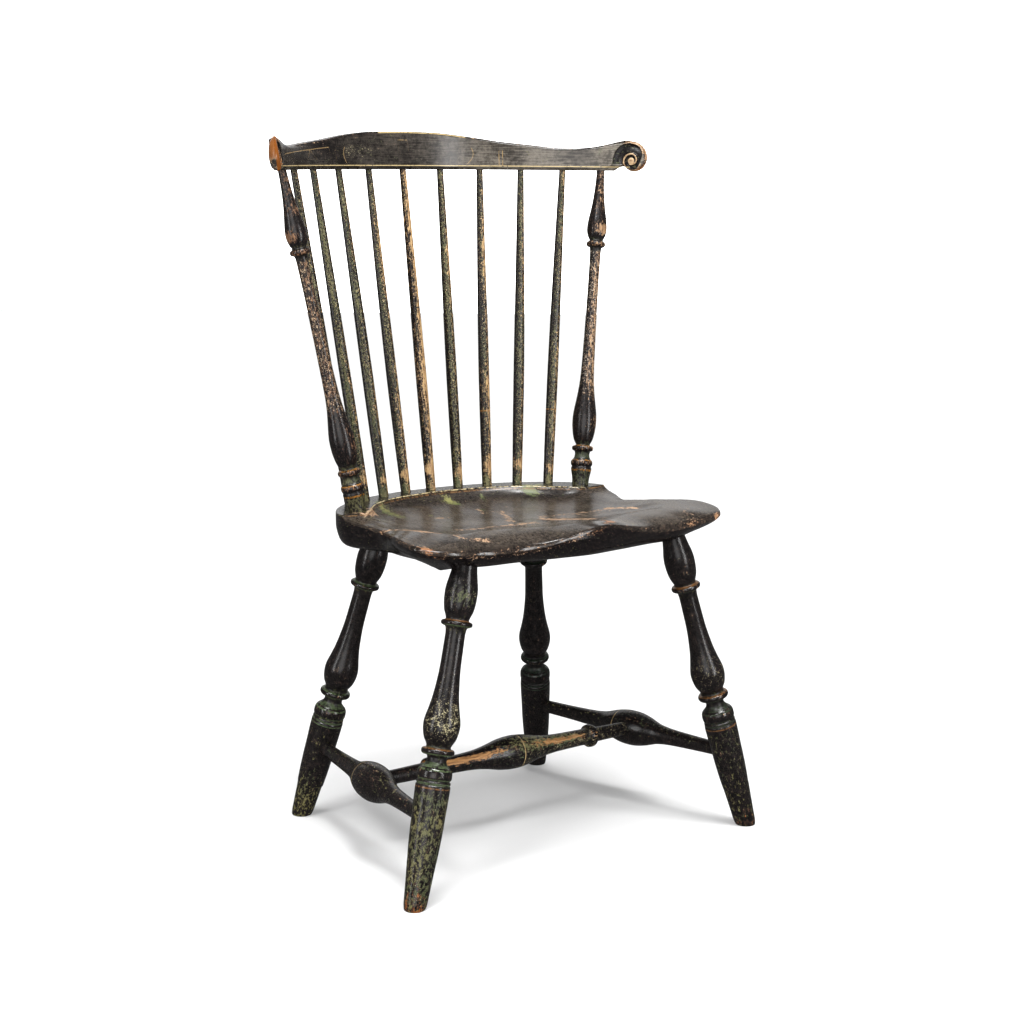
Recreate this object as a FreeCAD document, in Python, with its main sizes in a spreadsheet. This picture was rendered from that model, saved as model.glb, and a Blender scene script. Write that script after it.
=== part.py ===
import FreeCAD, Part
import Sketcher
import math
import os

# Fan-back side chair: a carved plank seat on four turned legs with an H stretcher, two turned
# stiles and nine spindles under a bent crest rail with carved volute ears.
# Millimetres, +Z up, the floor is Z = 0, the sitter faces -Y and the chair is symmetric in X.

os.makedirs("parts", exist_ok=True)
doc = FreeCAD.newDocument("painted_side_chair")
V = FreeCAD.Vector
UP = V(0, 0, 1)
ACROSS = V(1, 0, 0)

# Driving dimensions
SIZES = (
    # the plank seat
    ("seat_height", 450.0),
    ("seat_height_station", 110.0),
    ("seat_tilt_angle", 1.4),
    ("seat_thickness", 50.0),
    ("seat_half_width", 250.0),
    ("seat_back_depth", 162.0),
    ("seat_front_depth", 236.0),
    ("seat_hollow_depth", 24.0),
    ("seat_edge_depth", 23.0),
    ("seat_undercut", 42.0),
    ("pommel_shift", 12.0),
    ("ledge_half_width", 182.0),
    ("ledge_hollow_back", 128.0),
    ("ledge_end_station", 5.0),
    ("ledge_end_rearward", 22.0),
    ("ledge_end_run", 22.0),
    ("ledge_wall_depth", 14.0),
    ("ledge_wall_slope_run", 10.0),
    # legs: where each axis meets the floor and the underside of the seat
    ("front_foot_out", 278.8),
    ("front_foot_forward", 225.8),
    ("front_leg_top_out", 174.0),
    ("front_leg_top_forward", 180.8),
    ("back_foot_out", 208.6),
    ("back_foot_rearward", 166.9),
    ("back_leg_top_out", 133.6),
    ("back_leg_top_rearward", 83.8),
    ("leg_vase_radius", 23.2),
    ("leg_tenon_length", 26.0),
    ("back_foot_trim", 10.0),
    ("front_foot_trim", 0.0),
    ("foot_cut_allowance", 12.0),
    # stretchers
    ("stretcher_front_height", 107.4),
    ("stretcher_back_height", 102.6),
    ("side_stretcher_radius", 25.0),
    ("medial_radius", 23.2),
    ("medial_rise", 3.5),
    ("stretcher_end_radius", 9.2),
    ("stretcher_past_axis", 4.0),
    ("medial_tenon_length", 22.0),
    # stiles
    ("stile_base_out", 189.0),
    ("stile_base_rearward", 45.0),
    ("stile_radius", 17.2),
    ("stile_foot_radius", 12.0),
    ("stile_top_radius", 5.6),
    ("stile_tenon_length", 34.0),
    # spindles
    ("spindle_base_radius", 6.9),
    ("spindle_swell_radius", 7.7),
    ("spindle_top_radius", 4.6),
    ("spindle_base_bend", 291.0),
    ("spindle_line_rearward", 150.0),
    ("spindle_base_pitch_angle", 8.9),
    ("spindle_tenon_length", 24.0),
    # crest rail
    ("crest_underside_height", 899.0),
    ("crest_height", 53.0),
    ("crest_thickness", 17.0),
    ("crest_bend", 355.0),
    ("crest_line_rearward", 222.45),
    ("crest_lean_angle", 9.5),
    ("spindle_top_pitch_angle", 9.82),
    ("stile_top_angle", 48.3),
    ("crest_tenon_depth", 22.0),
    ("crest_bevel", 4.0),
    ("ear_eye_arc", 345.0),
    ("ear_eye_height", 14.5),
    ("ear_radius", 29.0),
    ("ear_thickness", 15.0),
    ("ear_carving_depth", 3.5),
    ("ear_rim_width", 2.2),
    ("ear_eye_radius", 4.6),
    # wooden pins and fits
    ("pin_radius", 2.2),
    ("pin_length", 14.0),
    ("pin_rise", 11.0),
    ("joint_clearance", 0.15),
)

sheet = doc.addObject("Spreadsheet::Sheet", "Sizes")
for row, (alias, value) in enumerate(SIZES, start=1):
    sheet.set(f"A{row}", alias)
    sheet.set(f"B{row}", str(value))
    sheet.setAlias(f"B{row}", alias)
doc.recompute()


def size(alias):
    return float(sheet.get(alias))


# Turned outlines. Each is a list of runs from the bottom up; "line" joins its points with straight
# edges and "curve" is a smooth B-spline on its control points. A point is (share of the turned
# length, share of the largest radius), and each run starts where the one before it ends.
LEG_START_SHARE = 0.570
LEG_SHARES = (
    ("curve", ((0.095, 0.733), (0.226, 0.948), (0.361, 0.957))),
    ("line", ((0.380, 0.944), (0.384, 0.897))),
    ("curve", ((0.392, 1.000), (0.413, 0.991), (0.420, 0.797))),
    ("curve", ((0.428, 0.496), (0.444, 0.483), (0.452, 0.797))),
    ("line", ((0.456, 0.862), (0.461, 0.909), (0.467, 0.914), (0.472, 0.871), (0.476, 0.802),
              (0.480, 0.664), (0.486, 0.664))),
    ("curve", ((0.501, 0.914), (0.532, 1.056), (0.570, 0.974), (0.613, 0.767), (0.670, 0.599),
               (0.748, 0.543), (0.822, 0.534))),
    ("line", ((0.827, 0.560), (0.836, 0.610), (0.841, 0.720), (0.843, 0.828), (0.846, 0.862),
              (0.851, 0.862), (0.854, 0.810), (0.859, 0.629), (0.863, 0.638))),
    ("curve", ((0.879, 0.802), (0.912, 0.914), (0.943, 0.918), (0.960, 0.871))),
)
LEG_SEAT_RADIUS_SHARE = 0.720
LEG_TENON_END_RADIUS_SHARE = 0.560

STILE_SHARES = (
    ("curve", ((0.0327, 0.721), (0.0479, 0.849), (0.0566, 0.861))),
    ("line", ((0.0588, 0.791), (0.0621, 0.791))),
    ("curve", ((0.0654, 0.942), (0.0784, 0.942), (0.0828, 0.767))),
    ("curve", ((0.0871, 0.558), (0.1024, 0.547), (0.1100, 0.709))),
    ("line", ((0.1111, 0.837), (0.1140, 0.884), (0.1210, 0.890), (0.1242, 0.826), (0.1275, 0.593),
              (0.1318, 0.593))),
    ("curve", ((0.148, 0.849), (0.179, 1.023), (0.218, 1.041), (0.266, 0.872), (0.327, 0.576),
               (0.414, 0.483), (0.545, 0.448), (0.654, 0.436), (0.743, 0.459))),
    ("line", ((0.754, 0.512), (0.758, 0.580), (0.760, 0.721), (0.763, 0.797), (0.771, 0.797),
              (0.775, 0.698), (0.778, 0.616), (0.781, 0.605))),
    ("curve", ((0.793, 0.779), (0.813, 0.884), (0.841, 0.779), (0.880, 0.570), (0.926, 0.401))),
)
STILE_FOOT_SHARE = 0.020
STILE_NECK_SHARE = 0.960

SPINDLE_SHARES = ((0.13, 0.96), (0.33, 1.06), (0.55, 0.90), (0.80, 0.66))
SPINDLE_FOOT_SHARE = 0.015
SPINDLE_NECK_SHARE = 0.940

SIDE_STRETCHER_SHARES = (
    ("curve", ((0.180, 0.408), (0.300, 0.432), (0.362, 0.492), (0.405, 0.600), (0.446, 0.908),
               (0.490, 1.030), (0.552, 1.030), (0.596, 0.908), (0.637, 0.600), (0.680, 0.492),
               (0.742, 0.432), (0.860, 0.408), (0.930, 0.384))),
)
MEDIAL_SHARES = (
    ("curve", ((0.120, 0.425), (0.160, 0.448), (0.1765, 0.466))),
    ("curve", ((0.179, 0.668), (0.187, 0.726), (0.199, 0.726), (0.203, 0.491))),
    ("curve", ((0.270, 0.502), (0.345, 0.526), (0.398, 0.700), (0.450, 1.000), (0.500, 1.034),
               (0.550, 1.000), (0.602, 0.700), (0.655, 0.526), (0.730, 0.502), (0.797, 0.491))),
    ("curve", ((0.801, 0.726), (0.813, 0.726), (0.821, 0.668), (0.8235, 0.466))),
    ("curve", ((0.840, 0.448), (0.880, 0.425), (0.930, 0.405))),
)
STRETCHER_MOUTH_SHARE = 0.075
TENON_TAPER_SHARE = 0.88
MEDIAL_CROSSING_SHARE = 0.540

# How far cutters and blanks reach beyond what they cut
OVERRUN_SHARE = 1.5
OVERHANG_SHARE = 1.1

CLEAR = "Sizes.joint_clearance"


def value_of(expression):
    """The number that an expression gives with the sizes in the sheet."""
    return float(sheet.evalExpression(str(expression)))


def place_of(point):
    """The vector for a point written as three expressions."""
    return V(*(value_of(item) for item in point))


def mirrored(point):
    """The same point on the other side of the chair."""
    return (f"-({point[0]})", point[1], point[2])


def distance(first, second):
    """An expression for the distance between two points."""
    squares = [f"(({a}) - ({b}))^2" for a, b in zip(first, second)]
    return "sqrt(" + " + ".join(squares) + ")"


def between(first, second, share):
    """The point a share of the way from the first point to the second."""
    return tuple(f"(({a}) + (({b}) - ({a})) * ({share}))" for a, b in zip(first, second))


def seat_top_at(rearward):
    """Height of the plank's flat top, which slopes up towards the front."""
    return f"(Sizes.seat_height + (Sizes.seat_height_station - ({rearward})) * tan(Sizes.seat_tilt_angle))"


def seat_under_at(rearward):
    """Height of the plank's flat underside."""
    return f"({seat_top_at(rearward)} - Sizes.seat_thickness / cos(Sizes.seat_tilt_angle))"


def axis_placement(start, end):
    """Put the origin at start and the local Z axis along the line to end."""
    line = place_of(end) - place_of(start)
    return FreeCAD.Placement(place_of(start), FreeCAD.Rotation(UP, line))


def scaled(shares, length, radius, trim="0"):
    """Outline points in shares as pairs of expressions: rise along the axis, and radius."""
    return [(f"(({length}) + ({trim})) * {rise} - ({trim})", f"({radius}) * {reach}")
            for rise, reach in shares]


def scaled_runs(runs, length, radius, trim="0"):
    return [(kind, scaled(points, length, radius, trim)) for kind, points in runs]


def widened(points):
    """The outline of the socket for a piece with these outline points."""
    return [(rise, f"{reach} + {CLEAR}") for rise, reach in points]


def origin_plane(body, role):
    return [item for item in body.Origin.OriginFeatures if item.Role == role][0]


def new_sketch(body, name, role):
    sketch = body.newObject("Sketcher::SketchObject", name)
    sketch.AttachmentSupport = [(origin_plane(body, role), "")]
    sketch.MapMode = "FlatFace"
    return sketch


class Outline:
    """A sketch that is drawn first and held at its expressions afterwards, all at once."""

    def __init__(self, body, name, role):
        self.sketch = new_sketch(body, name, role)
        self.rules = []
        self.bound = []

    def line(self, start, end):
        ends = [V(value_of(across), value_of(up), 0) for across, up in (start, end)]
        return self.sketch.addGeometry(Part.LineSegment(*ends), False)

    def curve(self, points):
        """A B-spline on control points given as (across, up) expressions."""
        poles = [V(value_of(across), value_of(up), 0) for across, up in points]
        degree = min(3, len(poles) - 1)
        curve = Part.BSplineCurve(poles, None, None, False, degree, None, False)
        index = self.sketch.addGeometry(curve, False)
        self.sketch.exposeInternalGeometry(index)
        for step, point in enumerate(points[1:-1], start=2):
            self.hold(index + step, 3, point)
        return index

    def hold(self, geometry, spot, point):
        for kind, expression in zip(("DistanceX", "DistanceY"), point):
            rule = Sketcher.Constraint(kind, -1, 1, geometry, spot, value_of(expression))
            self.bound.append((len(self.rules), expression))
            self.rules.append(rule)

    def rule(self, *words):
        self.rules.append(Sketcher.Constraint(*words))

    def join(self, first, second):
        self.rule("Coincident", first, 2, second, 1)

    def finish(self):
        before = self.sketch.ConstraintCount
        self.sketch.addConstraint(self.rules)
        for index, expression in self.bound:
            self.sketch.setExpression(f"Constraints[{before + index}]", expression)
        return self.sketch


def closed_outline(body, name, role, start, runs):
    """A closed sketch through the runs, back to its start with a straight edge; every point is a
    pair of (across, up) expressions."""
    outline = Outline(body, name, role)
    first = last = None
    here = start
    for kind, points in runs:
        stops = [[point] for point in points] if kind == "line" else [points]
        for stop in stops:
            edge = outline.line(here, stop[0]) if kind == "line" else outline.curve([here] + stop)
            if last is None:
                first = edge
            else:
                outline.join(last, edge)
            outline.hold(edge, 2, stop[-1])
            last = edge
            here = stop[-1]
    closing = outline.line(here, start)
    outline.join(last, closing)
    outline.join(closing, first)
    outline.hold(closing, 2, start)
    return outline.finish()


def turned(name, start, runs, placement):
    """A turned piece: the outline from start, a pair of (rise, radius) expressions, through the
    runs, closed on the axis and turned a full revolution."""
    body = doc.addObject("PartDesign::Body", name)
    outline = Outline(body, f"{name}_outline", "XZ_Plane")
    across_up = [(kind, [(reach, rise) for rise, reach in points]) for kind, points in runs]
    centre = ("0", start[0])
    here = (start[1], start[0])
    foot = last = outline.line(centre, here)
    outline.rule("PointOnObject", foot, 1, -2)
    outline.rule("Horizontal", foot)
    outline.hold(foot, 2, here)
    for kind, points in across_up:
        stops = [[point] for point in points] if kind == "line" else [points]
        for stop in stops:
            edge = outline.line(here, stop[0]) if kind == "line" else outline.curve([here] + stop)
            outline.join(last, edge)
            outline.hold(edge, 2, stop[-1])
            last = edge
            here = stop[-1]
    top = outline.line(here, ("0", here[1]))
    outline.join(last, top)
    outline.rule("PointOnObject", top, 2, -2)
    outline.rule("Horizontal", top)
    axis = outline.line(("0", here[1]), centre)
    outline.join(top, axis)
    outline.join(axis, foot)
    turning = body.newObject("PartDesign::Revolution", f"{name}_turning")
    turning.Profile = outline.finish()
    turning.ReferenceAxis = (outline.sketch, ["V_Axis"])
    turning.Angle = 360
    body.Placement = placement
    return body


def cone(name, outline, placement):
    """A socket tool turned from two or three outline points."""
    return turned(name, outline[0], [("line", outline[1:])], placement)


def cut(name, base, tools):
    """The base with every tool taken out of it, as the finished piece."""
    tool = tools[0]
    if len(tools) > 1:
        tool = doc.addObject("Part::MultiFuse", f"{name}_cutters")
        tool.Shapes = tools
    piece = doc.addObject("Part::Cut", f"{name}_cut")
    piece.Base = base
    piece.Tool = tool
    return piece


def across_chair(name, source):
    """The same piece on the other side of the chair's middle plane."""
    mirror = doc.addObject("Part::Mirroring", name)
    mirror.Source = source
    mirror.Normal = ACROSS
    return mirror


PIECES = {}


def keep(name, piece):
    piece.Label = name
    PIECES[name] = piece


def keep_pair(name, piece):
    """A right-hand piece and its mirror image on the left."""
    keep(f"{name}_right", piece)
    keep(f"{name}_left", across_chair(f"{name}_left_mirror", piece))


# Legs
FRONT_FOOT = ("Sizes.front_foot_out", "-Sizes.front_foot_forward", "0")
FRONT_TOP = ("Sizes.front_leg_top_out", "-Sizes.front_leg_top_forward",
             seat_under_at("-Sizes.front_leg_top_forward"))
BACK_FOOT = ("Sizes.back_foot_out", "Sizes.back_foot_rearward", "0")
BACK_TOP = ("Sizes.back_leg_top_out", "Sizes.back_leg_top_rearward",
            seat_under_at("Sizes.back_leg_top_rearward"))
LEGS = {
    "front": (FRONT_FOOT, FRONT_TOP, "Sizes.front_foot_trim", "Sizes.stretcher_front_height"),
    "back": (BACK_FOOT, BACK_TOP, "Sizes.back_foot_trim", "Sizes.stretcher_back_height"),
}


def leg_top_outline(length, trim):
    """The top of the leg, from under the seat to the end of its tapered tenon."""
    radius = "Sizes.leg_vase_radius"
    bulb = scaled([LEG_SHARES[-1][1][-1]], length, radius, trim)[0]
    seat = (length, f"{radius} * {LEG_SEAT_RADIUS_SHARE}")
    end = (f"({length}) + Sizes.leg_tenon_length", f"{radius} * {LEG_TENON_END_RADIUS_SHARE}")
    return [bulb, seat, end]


def socket_outline(outline, at_end=True):
    """A socket a little wider and deeper than the outline that sits in it."""
    points = widened(outline)
    if at_end:
        rise, reach = points[-1]
        points[-1] = (f"{rise} + {CLEAR}", reach)
    else:
        rise, reach = points[0]
        points[0] = (f"{rise} - {CLEAR}", reach)
    return points


# Side stretchers run between the leg axes at their own heights, the medial between their bulbs
def leg_point(leg):
    foot, top, _, height = LEGS[leg]
    return between(foot, top, f"({height}) / ({top[2]})")


def tenon_outline(length, past, radius):
    """The two tapered ends of a stretcher, each from its tip to its mouth."""
    tip = f"({radius}) * {TENON_TAPER_SHARE}"
    near = [(past, tip), (f"({length}) * {STRETCHER_MOUTH_SHARE}", radius)]
    far = [(f"({length}) * (1 - {STRETCHER_MOUTH_SHARE})", radius), (f"({length}) - ({past})", tip)]
    return near, far


def stretcher(name, start, end, runs, radius, past):
    """A turned stretcher, the outlines of its two tenons, and its placement."""
    length = distance(start, end)
    near, far = tenon_outline(length, past, "Sizes.stretcher_end_radius")
    middle = scaled_runs(runs, length, radius)
    middle[-1] = (middle[-1][0], middle[-1][1] + [far[0]])
    placement = axis_placement(start, end)
    body = turned(f"{name}_turned", near[0], [("line", near[1:])] + middle + [("line", far[1:])],
                  placement)
    return body, near, far, placement


SIDE_AXIS = (leg_point("back"), leg_point("front"))
side_body, back_tenon, front_tenon, side_place = stretcher(
    "side_stretcher", *SIDE_AXIS, SIDE_STRETCHER_SHARES, "Sizes.side_stretcher_radius",
    "-Sizes.stretcher_past_axis")
leg_sockets = {
    "back": cone("back_leg_socket", socket_outline(back_tenon, False), side_place),
    "front": cone("front_leg_socket", socket_outline(front_tenon), side_place),
}
crossing = between(*SIDE_AXIS, MEDIAL_CROSSING_SHARE)
crossing = (crossing[0], crossing[1], f"({crossing[2]}) + Sizes.medial_rise")
medial, _, medial_tenon, medial_place = stretcher(
    "medial_stretcher", mirrored(crossing), crossing, MEDIAL_SHARES, "Sizes.medial_radius",
    "Sizes.side_stretcher_radius - Sizes.medial_tenon_length")
medial_socket = cone("medial_socket", socket_outline(medial_tenon), medial_place)
keep("medial_stretcher", medial)
keep_pair("side_stretcher", cut("side_stretcher", side_body, [medial_socket]))

# The floor cuts every foot level
floor = doc.addObject("Part::Box", "floor_cutter")
floor.setExpression("Length", f"2 * {OVERRUN_SHARE} * Sizes.front_foot_out")
floor.setExpression("Width", f"2 * {OVERRUN_SHARE} * Sizes.front_foot_forward")
floor.setExpression("Height", f"{OVERRUN_SHARE} * (Sizes.foot_cut_allowance + Sizes.leg_vase_radius)")
floor.setExpression("Placement.Base.x", f"-{OVERRUN_SHARE} * Sizes.front_foot_out")
floor.setExpression("Placement.Base.y", f"-{OVERRUN_SHARE} * Sizes.front_foot_forward")
floor.setExpression(
    "Placement.Base.z", f"-{OVERRUN_SHARE} * (Sizes.foot_cut_allowance + Sizes.leg_vase_radius)")

seat_tools = []
for leg, (foot, top, trim, _) in LEGS.items():
    length = distance(foot, top)
    start = ("-Sizes.foot_cut_allowance", f"Sizes.leg_vase_radius * {LEG_START_SHARE}")
    outline = leg_top_outline(length, trim)
    runs = scaled_runs(LEG_SHARES, length, "Sizes.leg_vase_radius", trim)
    placement = axis_placement(foot, top)
    body = turned(f"leg_{leg}_turned", start, runs + [("line", outline[1:])], placement)
    keep_pair(f"leg_{leg}", cut(f"leg_{leg}", body, [leg_sockets[leg], floor]))
    seat_tools.append(cone(f"leg_{leg}_seat_socket", socket_outline(outline), placement))


# Stiles and spindles stand on the ledge and end in the crest rail
def on_arc(line, bend, angle, height):
    """A point on an arc centred on the chair's middle plane."""
    return (f"{bend} * sin({angle})", f"({line} - {bend} + {bend} * cos({angle}))", height)


def crest_point(angle):
    return on_arc("Sizes.crest_line_rearward", "Sizes.crest_bend", angle,
                  "Sizes.crest_underside_height")


STILE_TOP = crest_point("Sizes.stile_top_angle")
STILE_BASE = ("Sizes.stile_base_out", "Sizes.stile_base_rearward",
              seat_top_at("Sizes.stile_base_rearward"))
crest_tools = []


def post(name, base, top, tenon, foot, runs, neck, neck_radius):
    """A turned post between the ledge and the crest rail, with its two socket tools. foot and neck
    are (share of the length, radius) where its straight tenons begin."""
    length = distance(base, top)
    near = [(f"-{tenon}", f"{foot[1]} * {TENON_TAPER_SHARE}"), (f"({length}) * {foot[0]}", foot[1])]
    far = [(f"({length}) * {neck}", neck_radius),
           (f"({length}) + Sizes.crest_tenon_depth", neck_radius)]
    middle = runs(length)
    middle[-1] = (middle[-1][0], middle[-1][1] + [far[0]])
    placement = axis_placement(base, top)
    body = turned(f"{name}_turned", near[0], [("line", near[1:])] + middle + [("line", far[1:])],
                  placement)
    seat_tools.append(cone(f"{name}_seat_socket", socket_outline(near, False), placement))
    crest_tools.append(cone(f"{name}_crest_socket", socket_outline(far), placement))
    return body


def stile_runs(length):
    return scaled_runs(STILE_SHARES, length, "Sizes.stile_radius")


def spindle_runs(length):
    return [("curve", scaled(SPINDLE_SHARES, length, "Sizes.spindle_swell_radius"))]


def spindle(number, step):
    """One spindle, a number of steps round the two arcs from the middle one."""
    angle = f"({step} * Sizes.spindle_base_pitch_angle)"
    base = on_arc("Sizes.spindle_line_rearward", "Sizes.spindle_base_bend", angle, "0")
    base = (base[0], base[1], seat_top_at(base[1]))
    top = crest_point(f"({step} * Sizes.spindle_top_pitch_angle)")
    return post(f"spindle_{number}", base, top, "Sizes.spindle_tenon_length",
                (SPINDLE_FOOT_SHARE, "Sizes.spindle_base_radius"), spindle_runs,
                SPINDLE_NECK_SHARE, "Sizes.spindle_top_radius")


stile = post("stile", STILE_BASE, STILE_TOP, "Sizes.stile_tenon_length",
             (STILE_FOOT_SHARE, "Sizes.stile_foot_radius"), stile_runs,
             STILE_NECK_SHARE, "Sizes.stile_top_radius")
SPINDLES_EACH_SIDE = 4
MIDDLE = SPINDLES_EACH_SIDE + 1
for step in range(1, SPINDLES_EACH_SIDE + 1):
    right = spindle(MIDDLE + step, step)
    keep(f"spindle_{MIDDLE + step}", right)
    keep(f"spindle_{MIDDLE - step}", across_chair(f"spindle_{MIDDLE - step}_mirror", right))
# Every socket so far is on the right, so the left ones are its mirror images
seat_tools += [across_chair(f"{tool.Name}_mirror", tool) for tool in seat_tools]
crest_tools += [across_chair(f"{tool.Name}_mirror", tool) for tool in crest_tools]
middle_spindle = spindle(MIDDLE, 0)


# Wooden pins through the back of the crest rail into the stiles and the middle spindle
def pin(name, angle, radius, length):
    """A pin's cylinder, driven level from the back face towards the chair's middle."""
    rise = "Sizes.pin_rise"
    bend = f"(Sizes.crest_bend + {rise} * tan(Sizes.crest_lean_angle) + Sizes.crest_thickness / 2)"
    start = (f"{bend} * sin({angle})",
             f"(Sizes.crest_line_rearward - Sizes.crest_bend + {bend} * cos({angle}))",
             f"Sizes.crest_underside_height + {rise}")
    inward = FreeCAD.Rotation(UP, V(-math.sin(math.radians(value_of(angle))),
                                    -math.cos(math.radians(value_of(angle))), 0))
    cylinder = doc.addObject("Part::Cylinder", name)
    cylinder.setExpression("Radius", radius)
    cylinder.setExpression("Height", length)
    cylinder.Placement = FreeCAD.Placement(place_of(start), inward)
    return cylinder


def pin_and_hole(name, angle):
    hole = pin(f"{name}_pin_hole", angle, f"Sizes.pin_radius + {CLEAR}", f"Sizes.pin_length + {CLEAR}")
    return pin(f"{name}_pin", angle, "Sizes.pin_radius", "Sizes.pin_length"), hole


stile_pin, stile_hole = pin_and_hole("stile", "Sizes.stile_top_angle")
middle_pin, middle_hole = pin_and_hole("spindle", "0")
keep_pair("stile", cut("stile", stile, [stile_hole]))
keep(f"spindle_{MIDDLE}", cut("middle_spindle", middle_spindle, [middle_hole]))
crest_tools += [stile_hole, across_chair("stile_hole_mirror", stile_hole), middle_hole]
crest_pins = doc.addObject("Part::MultiFuse", "pin_group")
crest_pins.Shapes = [stile_pin, across_chair("stile_pin_mirror", stile_pin), middle_pin]
keep("crest_pins", crest_pins)


# Crest rail: a board bent round the sitter and leaning back, under a shaped top edge
CREST_BOARD_ARC_SHARE = 0.925
TOP_CURVE_SHARES = ((1.12, 0.87), (1.04, 0.70), (0.97, 0.56), (0.86, 0.55), (0.72, 0.66),
                    (0.52, 0.81), (0.30, 0.99), (0.0, 1.015))


def crest_board():
    body = doc.addObject("PartDesign::Body", "crest_board")
    lean = f"{OVERHANG_SHARE} * Sizes.crest_height * tan(Sizes.crest_lean_angle)"
    front = "(Sizes.crest_bend - Sizes.crest_thickness / 2)"
    back = "(Sizes.crest_bend + Sizes.crest_thickness / 2)"
    top = f"{OVERHANG_SHARE} * Sizes.crest_height"
    section = closed_outline(
        body, "crest_section", "XZ_Plane", (f"{front} + Sizes.crest_bevel", "0"),
        [("line", [(back, "0"), (f"{back} + {lean}", top), (f"{front} + {lean}", top),
                   (front, "Sizes.crest_bevel")])])
    bending = body.newObject("PartDesign::Revolution", "crest_bending")
    bending.Profile = section
    bending.ReferenceAxis = (section, ["V_Axis"])
    bending.setExpression(
        "Angle", f"2 * {CREST_BOARD_ARC_SHARE} * Sizes.ear_eye_arc / Sizes.crest_bend * 180 / pi")
    bending.Midplane = True
    bending.recompute(True)
    whole = bending.Shape.Volume
    half = "(Sizes.crest_bend * sin(Sizes.stile_top_angle))"
    left = [(f"-{half} * {reach}", f"Sizes.crest_height * {rise}") for reach, rise in TOP_CURVE_SHARES]
    right = [(f"{half} * {reach}", f"Sizes.crest_height * {rise}")
             for reach, rise in reversed(TOP_CURVE_SHARES[:-1])]
    high = f"{OVERRUN_SHARE} * Sizes.crest_height"
    wide = f"{OVERRUN_SHARE} * {half}"
    above = closed_outline(
        body, "crest_top_curve", "YZ_Plane", left[0],
        [("curve", left[1:] + right),
         ("line", [(wide, right[-1][1]), (wide, high), (f"-{wide}", high), (f"-{wide}", left[0][1])])])
    shaping = body.newObject("PartDesign::Pocket", "crest_shaping")
    shaping.Profile = above
    shaping.Type = "ThroughAll"
    shaping.Midplane = True
    shaping.recompute(True)
    print("crest board volume before and after its top is shaped", whole, shaping.Shape.Volume)
    body.Placement = FreeCAD.Placement(
        V(0, size("crest_line_rearward") - size("crest_bend"), size("crest_underside_height")),
        FreeCAD.Rotation(UP, 90))
    return body


# Volute ear. Outline points are shares of ear_radius, measured from the volute's eye: across is
# outwards along the board, up is towards the top edge.
EAR_STEP_ANGLE = 45.0
EAR_SPIRAL_SHARES = (1.0, 0.883, 0.793, 0.640, 0.510, 0.459, 0.445, 0.414, 0.379, 0.352, 0.317,
                     0.262, 0.214)
RIM_STEPS = 6
RIDGE_FIRST_STEP = 4
RIDGE_INSET_SHARE = 0.3
EAR_NECK_TOP_SHARES = ((-1.10, 0.80), (-0.55, 0.92))
EAR_COVE_SHARES = ((-0.46, -0.30), (-0.68, -0.36), (-0.92, -0.50))
EAR_RECESS_SHARES = ((-1.03, 0.10), (-0.90, 0.50), (-0.52, 0.80), (0.0, 0.925), (0.40, 0.78),
                     (0.68, 0.45), (0.715, 0.0), (0.43, -0.36), (0.05, -0.44), (-0.34, -0.30),
                     (-0.62, -0.40), (-0.95, -0.42))


def spiral_point(step, inset=0.0):
    """A point on the volute, clockwise from straight up, drawn in by the inset."""
    angle = math.radians(step * EAR_STEP_ANGLE)
    reach = EAR_SPIRAL_SHARES[step] * size("ear_radius") - inset
    return V(reach * math.sin(angle), reach * math.cos(angle), 0)


def smooth_edge(points, closed=False):
    curve = Part.BSplineCurve()
    curve.interpolate(Points=points, PeriodicFlag=closed)
    return curve.toShape()


def ear_points(shares):
    return [V(across * size("ear_radius"), up * size("ear_radius"), 0) for across, up in shares]


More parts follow.
